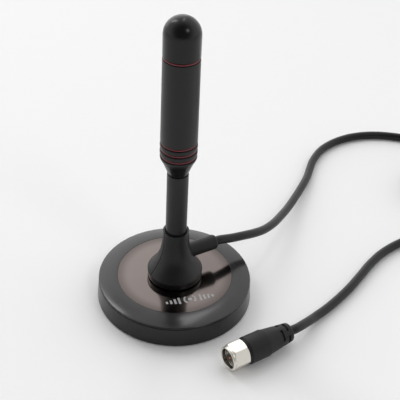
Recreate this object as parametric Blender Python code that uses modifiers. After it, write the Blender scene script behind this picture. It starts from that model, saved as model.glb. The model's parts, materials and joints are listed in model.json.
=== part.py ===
"""Indoor television aerial: a magnetic base, a mast with a fat radiator head, a coax lead and its F plug.

The origin is on the surface that the aerial stands on, under the middle of the mast. +Z runs up the
mast, and +X is the way that the lead leaves the pedestal. The sizes below are in millimetres.
"""

import math

import bmesh
import bpy
from mathutils import Matrix, Vector

MM = 0.001
GAP = 0.3  # clearance between pieces that touch or fit in each other

# Base: a tray with a magnet in it, closed by a crowned cover with a glossy disc let into it.
BASE_R = 35.6  # outside of the tray where it meets the surface
BASE_DRAFT = 0.6  # how much the side leans in on its way up
BASE_HEIGHT = 10.5  # up to the rim of the cover
COVER_CROWN = 1.2  # rise of the cover from its rim to the glossy disc
COVER_EDGE = 0.6  # height of the cover's rim that shows above the joint
COVER_PLATE = 1.6
FACE_R = 26.1
FACE_THICK = 0.8
TRAY_WALL = 2.0
TRAY_FLANGE = 5.0  # width of the ledge that the cover's screws pass through
TRAY_FLOOR = 1.8
PAD_THICK = 1.2
PAD_PROUD = 0.5  # how far the rubber pad stands below the tray
MAGNET_HEIGHT = 4.0
MAGNET_HOLE_R = 11.5
YOKE_THICK = 1.4
YOKE_HOLE_R = 4.0

# Screws
SCREW_R = 0.9
SCREW_HEAD_R = 1.7
SCREW_HEAD = 0.9
BOSS_WALL = 0.9
TRAY_SCREWS = 3
PEDESTAL_SCREWS = 4
PEDESTAL_SCREW_EDGE = 0.9  # between the screws' bosses and the wall of the shells
PEDESTAL_SCREW_REACH = 2.4  # how far they bite into the shells' bosses

# Mast and pedestal
MAST_R = 4.72
MAST_WALL = 0.7
MAST_TOP = 68.8
MAST_FLANGE = 0.6  # how far the flange at the foot of the mast stands out
MAST_FLANGE_THICK = 1.0
PEDESTAL_R = 12.6
COLLAR_TOP = 37.5
COLLAR_WALL = 0.75
MAST_LIFT = 1.3  # between the boot's flange and the foot of the mast
SHELL_WALL = 1.4
FOOT_HEIGHT = 3.2  # black ring between the glossy disc and the shells
FOOT_INSET = 0.15
FOOT_SPIGOT = 1.5  # how much smaller the foot is where it passes through the disc
PILOT_HEIGHT = 1.2

# Boot where the lead leaves the pedestal
LEAD_DIAMETER = 4.2
BOOT_Z = 23.0
BOOT_WALL = 1.1
BOOT_END = 21.1  # distance from the mast's axis to the boot's mouth
BOOT_CHAMFER = 1.2
BOOT_FLANGE = 0.7
BOOT_FLANGE_THICK = 1.2
BOOT_FLANGE_X = 2.9
CRIMP_RING = 1.5  # length of the brass ring that stops the lead from pulling out
WIRE_DIAMETER = 1.4  # bare inner wire from the end of the lead up to the radiator

# Head
HEAD_R = 7.92  # outside of the sleeve at its lower end
HEAD_TAPER = 0.2  # how much thinner it is at its upper end
NECK_STEP = 0.22  # how much thinner the neck is than the mast
NECK_HEIGHT = 0.2
CONE_HEIGHT = 6.3
CONE_STEP = 0.75  # how far the cone stands out past the core
COLLAR_DEPTH = 1.42  # of the taper, the ribs and the lower end of the sleeve
CORE_WALL = 1.0
CORE_SPIGOT = 8.0  # length of the core inside the mast
TAPER_HEIGHT = 2.2
RING_HEIGHT = 0.7
RING_INSET = 0.2  # how far the red rings lie below the ribs
RIB_HEIGHT = 1.9
SLEEVE_LENGTH = 38.4
SLEEVE_WALL = 1.1
SLEEVE_GRIP = 6.0  # length of core inside the sleeve
CAP_SIDE = 9.0  # straight part of the cap, below its dome
CAP_SPIGOT = 7.0
CAP_WALL = 1.2
BOARD_CLEAR = 0.7  # between the board's edges and the bore of the core
BOARD_THICK = 0.8
BOARD_LENGTH = 17.0
CORE_FLOOR = 2.0
TRANSFORMER = (3.6, 2.2, 4.0)
COIL_WIRE = 0.8
COIL_CLEAR = 2.42  # between the sleeve's bore and the middle of the coil's wire
COIL_TURNS = 6
COIL_LENGTH = 14.0

# F plug, measured along its axis from the mating face of its nut
PLUG_PLACE = (-3.4, -53.3)
PLUG_LIFT = 0.1  # between the plug and the surface that it lies on
PLUG_HEADING = math.radians(2.4)
NUT_BORE_R = 4.45
NUT_WALL = 1.05  # at the middle of a flat
NUT_CORNER_CUT = 0.15  # taken off the hexagon's corners
NUT_LENGTH = 8.3
NUT_LIP = 1.2
NUT_LIP_STEP = 0.05  # how much smaller the round lip is than the flats
NUT_BACK = 1.5  # wall at the back of the nut, behind the post's flange
POST_PLAY = 0.35  # between the post's flange and the nut's bore
POST_FLANGE_STEP = 0.8
POST_FLANGE_THICK = 0.9
POST_WALL = 0.7
POST_SHOULDER = 1.5  # how far the post's body stands out past its neck
POST_BODY_LENGTH = 6.0
PIN_R = 0.45
PIN_RECESS = 0.7  # how far the pin's tip lies behind the nut's face
PLUG_BOOT_WALL = 1.1
PLUG_BOOT_END_WALL = 1.95
PLUG_BOOT_LENGTH = 24.0
PLUG_BOOT_STRAIGHT = 0.42  # share of the boot that doesn't taper
PLUG_BOOT_CHAMFER = 1.0
GROOVE_WIDTH = 0.9
GROOVE_DEPTH = 0.6
GROOVE_PLACES = (2.6, 6.2)  # from the boot's cable end
CRIMP_LENGTH = 5.0
CRIMP_WALL = 0.8

# Free lead, in metres: it leaves the boot, comes down to the surface and runs to the coil, and from
# the coil to the plug. Its length is 1.5 m, most of it in the coil.
LEAD_ROUTE = [
    (0.0214, 0.0000, 0.0230),
    (0.0242, 0.0000, 0.0228),
    (0.0300, 0.0001, 0.0214),
    (0.0370, 0.0006, 0.0199),
    (0.0445, 0.0020, 0.0177),
    (0.0520, 0.0048, 0.0150),
    (0.0605, 0.0095, 0.0121),
    (0.0700, 0.0160, 0.0092),
    (0.0800, 0.0232, 0.0067),
    (0.0900, 0.0310, 0.0047),
    (0.1000, 0.0389, 0.0033),
    (0.1075, 0.0452, 0.0025),
    (0.1137, 0.0513, 0.0022),
    (0.1208, 0.0577, 0.00215),
    (0.1305, 0.0636, 0.00215),
    (0.1425, 0.0667, 0.00215),
    (0.1555, 0.0662, 0.00215),
    (0.1680, 0.0617, 0.00215),
    (0.1795, 0.0533, 0.00215),
    (0.1897, 0.0425, 0.0022),
    (0.1990, 0.0305, 0.0024),
]
TAIL_ROUTE = [
    (0.1545, -0.0292, 0.0051),
    (0.1470, -0.0264, 0.0037),
    (0.1375, -0.0240, 0.0026),
    (0.1265, -0.0227, 0.0022),
    (0.1155, -0.0228, 0.00215),
    (0.1045, -0.0246, 0.00215),
    (0.0940, -0.0284, 0.00215),
    (0.0844, -0.0330, 0.00215),
    (0.0745, -0.0377, 0.00215),
    (0.0647, -0.0415, 0.00215),
    (0.0557, -0.0445, 0.0023),
    (0.0469, -0.0471, 0.0030),
    (0.0408, -0.0495, 0.0047),
]
COIL_CENTRE = (182.5, -4.0)
COIL_MID_R = 24.0
COIL_HALF_WIDTH = 10.0
COIL_FLOOR = 1.0
COIL_HEIGHT = 8.7
TIE_WIDTH = 8.0
TIE_THICK = 0.7
TIE_ANGLE = math.radians(150)

# Round pieces are faceted no finer than this: what shows gets its fine surface elsewhere.
WIDE, MIDDLE, NARROW, FINE = 48, 32, 24, 12

# Heights and radii that follow from the sizes above
rim_r = BASE_R - BASE_DRAFT
tray_inner_r = rim_r - TRAY_WALL
ledge_r = tray_inner_r - TRAY_FLANGE
magnet_r = ledge_r - GAP
tray_bottom = PAD_THICK + GAP
ledge_top = tray_bottom + TRAY_FLOOR
magnet_top = tray_bottom + MAGNET_HEIGHT
yoke_bottom = magnet_top + GAP
yoke_top = yoke_bottom + YOKE_THICK
plate_bottom = BASE_HEIGHT - COVER_PLATE
face_top = BASE_HEIGHT + COVER_CROWN
face_bottom = face_top - FACE_THICK
recess_floor = face_bottom - GAP
recess_r = FACE_R + GAP
tray_screw_ring = tray_inner_r - TRAY_FLANGE / 2
screw_hole_r = SCREW_R + GAP
boss_r = screw_hole_r + BOSS_WALL

pedestal_screw_ring = PEDESTAL_R - SHELL_WALL - boss_r - PEDESTAL_SCREW_EDGE
foot_r = PEDESTAL_R - FOOT_INSET
spigot_r = foot_r - FOOT_SPIGOT
foot_bottom = face_top + GAP
foot_top = foot_bottom + FOOT_HEIGHT
shell_bottom = foot_top + GAP
pilot_top = shell_bottom + PILOT_HEIGHT - GAP
boss_bottom = pilot_top + GAP
pedestal_screw_tip = boss_bottom + PEDESTAL_SCREW_REACH
boss_top = pedestal_screw_tip + 2 * GAP

wire_hole_r = WIRE_DIAMETER / 2 + GAP
lead_hole_r = LEAD_DIAMETER / 2 + GAP
boot_r = lead_hole_r + BOOT_WALL
boot_flange_r = boot_r + BOOT_FLANGE
mast_bore_r = MAST_R - MAST_WALL
mast_bottom = BOOT_Z + boot_flange_r + MAST_LIFT
mast_hole_r = MAST_R + GAP
mast_flange_r = MAST_R + MAST_FLANGE
cavity_r = mast_flange_r + GAP
cavity_top = mast_bottom + MAST_FLANGE_THICK + GAP
collar_r = mast_hole_r + COLLAR_WALL

neck_r = MAST_R - NECK_STEP
head_top_r = HEAD_R - HEAD_TAPER
on_core_r = HEAD_R - COLLAR_DEPTH
core_r = on_core_r - GAP
neck_bottom = MAST_TOP + GAP
cone_bottom = neck_bottom + NECK_HEIGHT
cone_top = cone_bottom + CONE_HEIGHT
taper_bottom = cone_top + GAP
taper_top = taper_bottom + TAPER_HEIGHT
ring_pitch = RING_HEIGHT + RIB_HEIGHT + 2 * GAP
first_ring = taper_top + GAP
last_ring = first_ring + 2 * ring_pitch
sleeve_bottom = last_ring + RING_HEIGHT + GAP
sleeve_top = sleeve_bottom + SLEEVE_LENGTH
core_top = sleeve_bottom + SLEEVE_GRIP
core_bore_r = core_r - CORE_WALL
core_floor_top = cone_top + CORE_FLOOR
upper_ring = sleeve_top + GAP
cap_bottom = upper_ring + RING_HEIGHT + GAP
cap_spigot_r = head_top_r - SLEEVE_WALL - GAP
board_bottom = core_floor_top + 2 * GAP
board_top = board_bottom + BOARD_LENGTH
coil_bottom = max(board_top, core_top) + COIL_WIRE

post_flange_r = NUT_BORE_R - POST_PLAY
post_neck_r = post_flange_r - POST_FLANGE_STEP
post_bore_r = post_neck_r - POST_WALL
post_body_r = post_neck_r + POST_SHOULDER
plug_boot_r = post_body_r + GAP + PLUG_BOOT_WALL
plug_boot_end_r = lead_hole_r + PLUG_BOOT_END_WALL
nut_half_flats = NUT_BORE_R + NUT_WALL
nut_corner_r = nut_half_flats * 2 / math.sqrt(3) - NUT_CORNER_CUT
nut_lip_r = nut_half_flats - NUT_LIP_STEP
plug_face = Vector((*PLUG_PLACE, max(nut_corner_r, plug_boot_r) + PLUG_LIFT))


# ---------------------------------------------------------------- helpers


def collection(name):
    made = bpy.data.collections.new(name)
    bpy.context.scene.collection.children.link(made)
    return made


def finish(name, colour, roughness, metallic=0.0):
    """A Principled material of one colour."""
    made = bpy.data.materials.new(name)
    made.use_nodes = True
    shader = made.node_tree.nodes["Principled BSDF"]
    shader.inputs["Base Color"].default_value = (*colour, 1.0)
    shader.inputs["Roughness"].default_value = roughness
    shader.inputs["Metallic"].default_value = metallic
    return made


def add(name, data, material, where=None):
    made = bpy.data.objects.new(name, data)
    if material:
        data.materials.append(material)
    (where or PARTS).objects.link(made)
    return made


def as_cutter(obj):
    PARTS.objects.unlink(obj)
    CUTTERS.objects.link(obj)
    obj.hide_render = True
    obj.display_type = "WIRE"
    return obj


def shaded(mesh):
    """Smooth shading, but for the edges that are sharp."""
    mesh.shade_smooth()
    mesh.set_sharp_from_angle(angle=math.radians(35))
    return mesh


def turned(name, outline, sides, material=None):
    """A body turned round Z. Its outline runs down the outer side, and is closed unless it ends on the axis."""
    profile = bpy.data.meshes.new(name)
    points = [(radius * MM, 0, height * MM) for radius, height in outline]
    edges = [(i, i + 1) for i in range(len(points) - 1)]
    if outline[0][0] > 0:
        edges.append((len(points) - 1, 0))
    profile.from_pydata(points, edges, [])
    made = add(name, profile, material)
    turn = made.modifiers.new("turn", "SCREW")
    turn.axis = "Z"
    turn.steps = turn.render_steps = sides
    turn.use_merge_vertices = True
    turn.merge_threshold = 0.00001
    # The turn is applied here, so that its sharp edges can be marked.
    graph = bpy.context.evaluated_depsgraph_get()
    made.data = shaded(bpy.data.meshes.new_from_object(made.evaluated_get(graph)))
    made.modifiers.remove(turn)
    bpy.data.meshes.remove(profile)
    return made


def rod(name, radius, low, high, sides, at=(0, 0), material=None):
    """A plain cylinder standing on Z."""
    shape = bmesh.new()
    bmesh.ops.create_cone(
        shape,
        cap_ends=True,
        segments=sides,
        radius1=radius * MM,
        radius2=radius * MM,
        depth=(high - low) * MM,
    )
    middle = Vector((at[0], at[1], (low + high) / 2)) * MM
    bmesh.ops.translate(shape, verts=shape.verts, vec=middle)
    mesh = bpy.data.meshes.new(name)
    shape.to_mesh(mesh)
    shape.free()
    return add(name, shaded(mesh), material)


def block(name, low, high, material=None):
    """A box between two corners."""
    shape = bmesh.new()
    bmesh.ops.create_cube(shape, size=1)
    size = Vector(high) - Vector(low)
    middle = (Vector(high) + Vector(low)) / 2
    placed = Matrix.Translation(middle * MM) @ Matrix.Diagonal((*(size * MM), 1))
    bmesh.ops.transform(shape, matrix=placed, verts=shape.verts)
    mesh = bpy.data.meshes.new(name)
    shape.to_mesh(mesh)
    shape.free()
    return add(name, shaded(mesh), material)


def boolean(obj, other, operation="DIFFERENCE"):
    step = obj.modifiers.new(other.name, "BOOLEAN")
    step.operation = operation
    step.object = other
    return obj


def lay_along_x(obj, height):
    """Turns a piece that was made round Z so that its axis points along +X, at this height."""
    obj.rotation_euler = (0, math.pi / 2, 0)
    obj.location = (0, 0, height * MM)
    return obj


def on_circle(count, radius, first=0.0):
    angles = [first + 2 * math.pi * i / count for i in range(count)]
    return [(radius * math.cos(angle), radius * math.sin(angle)) for angle in angles]


def tube(name, points, diameter, material, rounding=2):
    """A round cord or wire through these points, which are in metres."""
    curve = bpy.data.curves.new(name, "CURVE")
    curve.dimensions = "3D"
    curve.bevel_depth = diameter * MM / 2
    curve.bevel_resolution = rounding
    curve.use_fill_caps = True
    line = curve.splines.new("POLY")
    line.points.add(len(points) - 1)
    for place, point in zip(line.points, points):
        place.co = (*point, 1)
    return add(name, curve, material)


def smooth_points(route, spacing):
    """Points about this far apart, in metres, on a smooth curve through the route's own points."""
    knots = [Vector(point) for point in route]
    knots = [2 * knots[0] - knots[1], *knots, 2 * knots[-1] - knots[-2]]
    fine = []
    for a, b, c, d in zip(knots, knots[1:], knots[2:], knots[3:]):
        for step in range(24):
            t = step / 24
            bend = (2 * a - 5 * b + 4 * c - d) * t**2 + (3 * b - a - 3 * c + d) * t**3
            fine.append(b + ((c - a) * t + bend) / 2)
    fine.append(knots[-2])
    travelled = [0.0]
    for start, end in zip(fine, fine[1:]):
        travelled.append(travelled[-1] + (end - start).length)
    total = travelled[-1]
    count = round(total / spacing)
    # One more point close to each end keeps the end faces square to the curve there.
    goals = [spacing / 4, *(total * step / count for step in range(1, count)), total - spacing / 4]
    picked = [fine[0]]
    for goal in goals:
        nearest = min(range(len(fine)), key=lambda i: abs(travelled[i] - goal))
        picked.append(fine[nearest])
    return [*picked, fine[-1]]


# ---------------------------------------------------------------- base


def base_pad():
    turned(
        "base_pad",
        [(0, PAD_THICK), (tray_inner_r - GAP, PAD_THICK), (tray_inner_r - GAP, 0), (0, 0)],
        WIDE,
        RUBBER,
    )


def base_tray():
    """Outer wall with a ledge inside it. The ledge has a counterbored hole for each of the cover's screws."""
    wall_top = BASE_HEIGHT - COVER_EDGE - GAP
    tray = turned(
        "base_tray",
        [
            (rim_r, wall_top),
            (BASE_R, PAD_PROUD),
            (tray_inner_r, PAD_PROUD),
            (tray_inner_r, tray_bottom),
            (ledge_r, tray_bottom),
            (ledge_r, ledge_top),
            (tray_inner_r, ledge_top),
            (tray_inner_r, wall_top),
        ],
        WIDE,
        DARK_GLOSS,
    )
    head_room = tray_bottom + SCREW_HEAD + GAP
    for i, at in enumerate(on_circle(TRAY_SCREWS, tray_screw_ring), 1):
        hole = rod(f"cut_tray_hole_{i}", screw_hole_r, 0, ledge_top + 1, FINE, at)
        sink = rod(f"cut_tray_sink_{i}", SCREW_HEAD_R + GAP, 0, head_room, FINE, at)
        boolean(tray, as_cutter(hole))
        boolean(tray, as_cutter(sink))


def magnet_and_yoke():
    turned(
        "magnet_ring",
        [
            (magnet_r, magnet_top),
            (magnet_r, tray_bottom),
            (MAGNET_HOLE_R, tray_bottom),
            (MAGNET_HOLE_R, magnet_top),
        ],
        WIDE,
        FERRITE,
    )
    turned(
        "yoke_plate",
        [(magnet_r, yoke_top), (magnet_r, yoke_bottom), (YOKE_HOLE_R, yoke_bottom), (YOKE_HOLE_R, yoke_top)],
        WIDE,
        STEEL,
    )


def crown(radius):
    """Height of the cover's top at this radius: level at the disc, falling away to the rim."""
    share = (radius - recess_r) / (rim_r - COVER_EDGE / 2 - recess_r)
    return face_top - COVER_CROWN * share**2


def base_cover():
    """Crowned cover. A skirt finds the tray, a rib holds the yoke down, and bosses take the tray's screws."""
    joint = BASE_HEIGHT - COVER_EDGE
    skirt_r = tray_inner_r - GAP
    skirt_bottom = ledge_top + 2 * GAP
    crown_start = rim_r - COVER_EDGE / 2
    arc = [recess_r + (crown_start - recess_r) * share for share in (1, 0.75, 0.5, 0.25, 0)]
    cover = turned(
        "base_cover",
        [(radius, crown(radius)) for radius in reversed(arc)]
        + [
            (rim_r, BASE_HEIGHT - COVER_EDGE / 2),
            (rim_r, joint),
            (skirt_r, joint),
            (skirt_r, plate_bottom - TRAY_FLOOR),
            (skirt_r - BOSS_WALL, plate_bottom - TRAY_FLOOR),
            (skirt_r - BOSS_WALL, plate_bottom),
            (magnet_r, plate_bottom),
            (magnet_r, yoke_top + GAP),
            (magnet_r - TRAY_WALL, yoke_top + GAP),
            (magnet_r - TRAY_WALL, plate_bottom),
            (YOKE_HOLE_R, plate_bottom),
            (YOKE_HOLE_R, recess_floor),
            (recess_r, recess_floor),
        ],
        WIDE,
        DARK_GLOSS,
    )
    tip = plate_bottom - GAP
    for i, at in enumerate(on_circle(TRAY_SCREWS, tray_screw_ring), 1):
        wide = min(boss_r, TRAY_FLANGE / 2 - GAP)
        boss = rod(f"add_cover_boss_{i}", wide, skirt_bottom, plate_bottom + GAP, FINE, at)
        hole = rod(f"cut_cover_boss_{i}", screw_hole_r, 0, tip + GAP, FINE, at)
        boolean(cover, as_cutter(boss), "UNION")
        boolean(cover, as_cutter(hole))
        screw(f"tray_screw_{i}", at, tray_bottom, tip)
    for i, at in enumerate(pedestal_screw_places(), 1):
        hole = rod(f"cut_cover_hole_{i}", screw_hole_r, 0, face_top, FINE, at)
        boolean(cover, as_cutter(hole))


def screw(name, at, head_bottom, tip):
    """A pan-head screw that stands on its head, with its point up."""
    made = turned(
        name,
        [
            (0, tip),
            (SCREW_R / 2, tip),
            (SCREW_R, tip - SCREW_R),
            (SCREW_R, head_bottom + SCREW_HEAD),
            (SCREW_HEAD_R, head_bottom + SCREW_HEAD),
            (SCREW_HEAD_R, head_bottom + SCREW_HEAD / 3),
            (SCREW_HEAD_R - SCREW_HEAD / 3, head_bottom),
            (0, head_bottom),
        ],
        FINE,
        STEEL,
    )
    made.location = (at[0] * MM, at[1] * MM, 0)


def face_plate():
    hole_r = spigot_r + GAP
    turned(
        "face_plate",
        [(FACE_R, face_top), (FACE_R, face_bottom), (hole_r, face_bottom), (hole_r, face_top)],
        WIDE,
        TAUPE_GLOSS,
    )


# ---------------------------------------------------------------- pedestal and mast


def flare(height):
    """Outer radius of the pedestal at this height: a trumpet that opens downwards."""
    share = (height - shell_bottom) / (COLLAR_TOP - shell_bottom)
    return collar_r + (PEDESTAL_R - collar_r) * math.exp(-4.36 * share**1.25)


def pedestal_screw_places():
    return on_circle(PEDESTAL_SCREWS, pedestal_screw_ring, math.pi / 4)


def pedestal_foot():
    """Black ring under the shells, with a pilot that finds them and a spigot through the glossy disc."""
    pilot_r = flare(pilot_top + GAP) - SHELL_WALL - GAP
    foot = turned(
        "pedestal_foot",
        [
            (0, pilot_top),
            (pilot_r, pilot_top),
            (pilot_r, foot_top),
            (foot_r, foot_top),
            (foot_r, foot_bottom),
            (spigot_r, foot_bottom),
            (spigot_r, face_bottom),
            (0, face_bottom),
        ],
        WIDE,
        BLACK_GLOSS,
    )
    for i, at in enumerate(pedestal_screw_places(), 1):
        hole = rod(f"cut_foot_hole_{i}", screw_hole_r, 0, pilot_top + 1, FINE, at)
        boolean(foot, as_cutter(hole))
        head_bottom = plate_bottom - GAP - SCREW_HEAD
        screw(f"pedestal_screw_{i}", at, head_bottom, pedestal_screw_tip)


def boot_clearance(height):
    """Radius about the mast's axis that clears the corners of the boot's flange at this height."""
    rise = height - BOOT_Z
    if abs(rise) >= boot_flange_r:
        return 0.0
    half_width = math.sqrt(boot_flange_r**2 - rise**2)
    return math.hypot(BOOT_FLANGE_X + BOOT_FLANGE_THICK, half_width) + GAP


def shell_cavity():
    """What is hollow inside the pedestal: it leaves the bosses and the saddle that holds the boot."""
    heights = [shell_bottom + (cavity_top - shell_bottom) * i / 8 for i in range(9)]
    bore = [(max(flare(z) - SHELL_WALL, cavity_r, boot_clearance(z)), z) for z in heights]
    cavity = turned(
        "cut_cavity",
        [(0, cavity_top), *reversed(bore), (bore[0][0], shell_bottom - 1), (0, shell_bottom - 1)],
        MIDDLE,
    )
    for i, at in enumerate(pedestal_screw_places(), 1):
        boss = rod(f"add_shell_boss_{i}", boss_r, boss_bottom, boss_top, FINE, at)
        boolean(cavity, as_cutter(boss))
    saddle = rod("add_saddle", boot_flange_r + BOSS_WALL, saddle_x(), PEDESTAL_R, NARROW)
    lay_along_x(saddle, BOOT_Z)
    boolean(cavity, as_cutter(saddle))
    return as_cutter(cavity)


def saddle_x():
    return BOOT_FLANGE_X + BOOT_FLANGE_THICK + GAP


def pedestal_shells():
    """Two half shells that meet on the plane of the boot's axis."""
    cavity = shell_cavity()
    mast_hole = rod("cut_mast_hole", mast_hole_r, shell_bottom, COLLAR_TOP + 1, MIDDLE)
    as_cutter(mast_hole)
    boot_hole = rod("cut_boot_hole", boot_r + GAP, saddle_x() - 1, PEDESTAL_R * 2, NARROW)
    as_cutter(lay_along_x(boot_hole, BOOT_Z))
    steps = 14
    heights = [shell_bottom + (COLLAR_TOP - shell_bottom) * (i / steps) ** 1.2 for i in range(steps + 1)]
    outline = [(flare(height), height) for height in reversed(heights)]
    wide = PEDESTAL_R * 2
    for name, side in (("pedestal_front_shell", -1), ("pedestal_rear_shell", 1)):
        shell = turned(name, [(0, COLLAR_TOP), *outline, (0, shell_bottom)], MIDDLE, SATIN_DARK)
        boolean(shell, cavity)
        boolean(shell, mast_hole)
        boolean(shell, boot_hole)
        for i, at in enumerate(pedestal_screw_places(), 1):
            if at[1] * side > 0:
                hole = rod(f"cut_{name}_{i}", screw_hole_r, 0, boss_top - GAP, FINE, at)
                boolean(shell, as_cutter(hole))
        near, far = sorted((side * GAP / 2, -side * wide))
        other_half = block(f"cut_{name}_half", (-wide, near, 0), (wide, far, COLLAR_TOP + 1))
        boolean(shell, as_cutter(other_half))


def mast_tube():
    turned(
        "mast_tube",
        [
            (MAST_R, MAST_TOP),
            (MAST_R, mast_bottom + MAST_FLANGE_THICK),
            (mast_flange_r, mast_bottom + MAST_FLANGE_THICK),
            (mast_flange_r, mast_bottom),
            (mast_bore_r, mast_bottom),
            (mast_bore_r, MAST_TOP),
        ],
        MIDDLE,
        SATIN_DARK,
    )


def cable_boot():
    """Rubber sleeve held by its flange in the shells, with the lead through it."""
    flange_end = BOOT_FLANGE_X + BOOT_FLANGE_THICK
    boot = turned(
        "cable_boot",
        [
            (lead_hole_r, BOOT_END),
            (boot_r - BOOT_CHAMFER / 2, BOOT_END),
            (boot_r, BOOT_END - BOOT_CHAMFER),
            (boot_r, flange_end),
            (boot_flange_r, flange_end),
            (boot_flange_r, BOOT_FLANGE_X),
            (lead_hole_r, BOOT_FLANGE_X),
        ],
        NARROW,
        RUBBER,
    )
    lay_along_x(boot, BOOT_Z)
    stub = rod("lead_in_boot", LEAD_DIAMETER / 2, BOOT_FLANGE_X, BOOT_END, FINE, (0, 0), PVC)
    lay_along_x(stub, BOOT_Z)
    crimp_end = BOOT_FLANGE_X - GAP
    crimp = turned(
        "crimp_ring",
        [
            (LEAD_DIAMETER / 2 + CRIMP_WALL, crimp_end),
            (LEAD_DIAMETER / 2 + CRIMP_WALL, crimp_end - CRIMP_RING),
            (wire_hole_r, crimp_end - CRIMP_RING),
            (wire_hole_r, crimp_end),
        ],
        FINE,
        BRASS,
    )
    lay_along_x(crimp, BOOT_Z)


def inner_wire():
    """Wire from the end of the lead, through the crimp ring, round into the mast and up to the board."""
    start = BOOT_FLANGE_X - GAP
    bend_start = start - CRIMP_RING
    bend_r = 2 * WIRE_DIAMETER
    aside = bend_start - bend_r
    points = [(start, BOOT_Z)]
    for i in range(7):
        angle = math.radians(270 - 15 * i)
        points.append((bend_start + bend_r * math.cos(angle), BOOT_Z + bend_r * (1 + math.sin(angle))))
    low, high = mast_bottom + bend_r, neck_bottom - CORE_SPIGOT - 2 * bend_r
    for i in range(9):
        share = i / 8
        points.append((aside * (1 - share**2 * (3 - 2 * share)), low + (high - low) * share))
    points.append((0, board_bottom - 2 * GAP))
    tube("inner_wire", [Vector((x, 0, z)) * MM for x, z in points], WIRE_DIAMETER, COPPER)


# ---------------------------------------------------------------- head


def head_core():
    """Glossy cone with a spigot down into the mast and a tube up into the sleeve."""
    spigot_r_in_mast = mast_bore_r - GAP
    turned(
        "head_core",
        [
            (core_r, core_top),
            (core_r, cone_top),
            (core_r + CONE_STEP, cone_top),
            (neck_r, cone_bottom),
            (neck_r, neck_bottom),
            (spigot_r_in_mast, neck_bottom),
            (spigot_r_in_mast, neck_bottom - CORE_SPIGOT),
            (wire_hole_r, neck_bottom - CORE_SPIGOT),
            (wire_hole_r, core_floor_top),
            (core_bore_r, core_floor_top),
            (core_bore_r, core_top),
        ],
        MIDDLE,
        BLACK_GLOSS,
    )


def collars_and_rings():
    """The satin taper above the cone, then red rings with ribs between them, all threaded on the core."""
    shoulder = HEAD_R - TAPER_HEIGHT / 3
    turned(
        "taper_collar",
        [
            (HEAD_R, taper_top),
            (HEAD_R, taper_top - TAPER_HEIGHT / 3),
            (shoulder, taper_bottom),
            (on_core_r, taper_bottom),
            (on_core_r, taper_top),
        ],
        MIDDLE,
        SATIN_DARK,
    )
    for i in range(3):
        red_ring(f"red_ring_{i + 1}", first_ring + i * ring_pitch, HEAD_R - RING_INSET, on_core_r)
    for i in range(2):
        low = first_ring + i * ring_pitch + RING_HEIGHT + GAP
        middle = low + RIB_HEIGHT / 2
        turned(
            f"rib_collar_{i + 1}",
            [
                (HEAD_R, low + RIB_HEIGHT),
                (HEAD_R + RING_INSET / 2, middle),
                (HEAD_R, low),
                (on_core_r, low),
                (on_core_r, low + RIB_HEIGHT),
            ],
            MIDDLE,
            SATIN_DARK,
        )
    red_ring("red_ring_4", upper_ring, head_top_r - RING_INSET / 2, cap_spigot_r + GAP)


def red_ring(name, low, outer, inner):
    high = low + RING_HEIGHT
    turned(name, [(outer, high), (outer, low), (inner, low), (inner, high)], MIDDLE, RED)


def head_sleeve():
    turned(
        "head_sleeve",
        [
            (head_top_r, sleeve_top),
            (HEAD_R, sleeve_bottom),
            (on_core_r, sleeve_bottom),
            (on_core_r, core_top + GAP),
            (head_top_r - SLEEVE_WALL, core_top + GAP + 1),
            (head_top_r - SLEEVE_WALL, sleeve_top),
        ],
        MIDDLE,
        SATIN_DARK,
    )


def dome(radius, centre, steps):
    """Points of a quarter circle from the pole down to the side."""
    angles = [math.pi / 2 * (1 - i / steps) for i in range(steps + 1)]
    points = [(radius * math.cos(angle), centre + radius * math.sin(angle)) for angle in angles]
    return [(0, centre + radius), *points[1:]]


def dome_cap():
    """Cap with a domed end and a spigot in the sleeve. It is open below."""
    centre = cap_bottom + CAP_SIDE
    inside = dome(head_top_r - CAP_WALL, centre, 6)
    turned(
        "dome_cap",
        [
            *dome(head_top_r, centre, 8),
            (head_top_r, cap_bottom),
            (cap_spigot_r, cap_bottom),
            (cap_spigot_r, cap_bottom - CAP_SPIGOT),
            (cap_spigot_r - CAP_WALL, cap_bottom - CAP_SPIGOT),
            (cap_spigot_r - CAP_WALL, cap_bottom),
            *reversed(inside),
        ],
        MIDDLE,
        BLACK_GLOSS,
    )


def radiator():
    """Circuit board in the core, its matching transformer, and the coil that stands above it."""
    half = core_bore_r - BOARD_CLEAR
    block(
        "antenna_board",
        (-half, -BOARD_THICK / 2, board_bottom),
        (half, BOARD_THICK / 2, board_top),
        BOARD_GREEN,
    )
    wide, deep, high = TRANSFORMER
    near = BOARD_THICK / 2 + GAP
    low = board_bottom + BOARD_LENGTH / 2 - high / 2
    block("matching_transformer", (-wide / 2, near, low), (wide / 2, near + deep, low + high), FERRITE)
    per_turn = 10
    coil_r = head_top_r - SLEEVE_WALL - COIL_CLEAR
    points = []
    for i in range(COIL_TURNS * per_turn + 1):
        angle = 2 * math.pi * i / per_turn
        height = coil_bottom + COIL_LENGTH * i / (COIL_TURNS * per_turn)
        points.append(Vector((coil_r * math.cos(angle), coil_r * math.sin(angle), height)) * MM)
    tube("radiator_coil", points, COIL_WIRE, COPPER)


# ---------------------------------------------------------------- F plug


def plug_frame():
    """Empty on the plug's axis at its mating face. Its +Z runs back along the plug."""
    frame = bpy.data.objects.new("plug_axis", None)
    PARTS.objects.link(frame)
    frame.location = plug_face * MM
    frame.rotation_euler = (0, math.pi / 2, PLUG_HEADING)
    return frame


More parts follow.
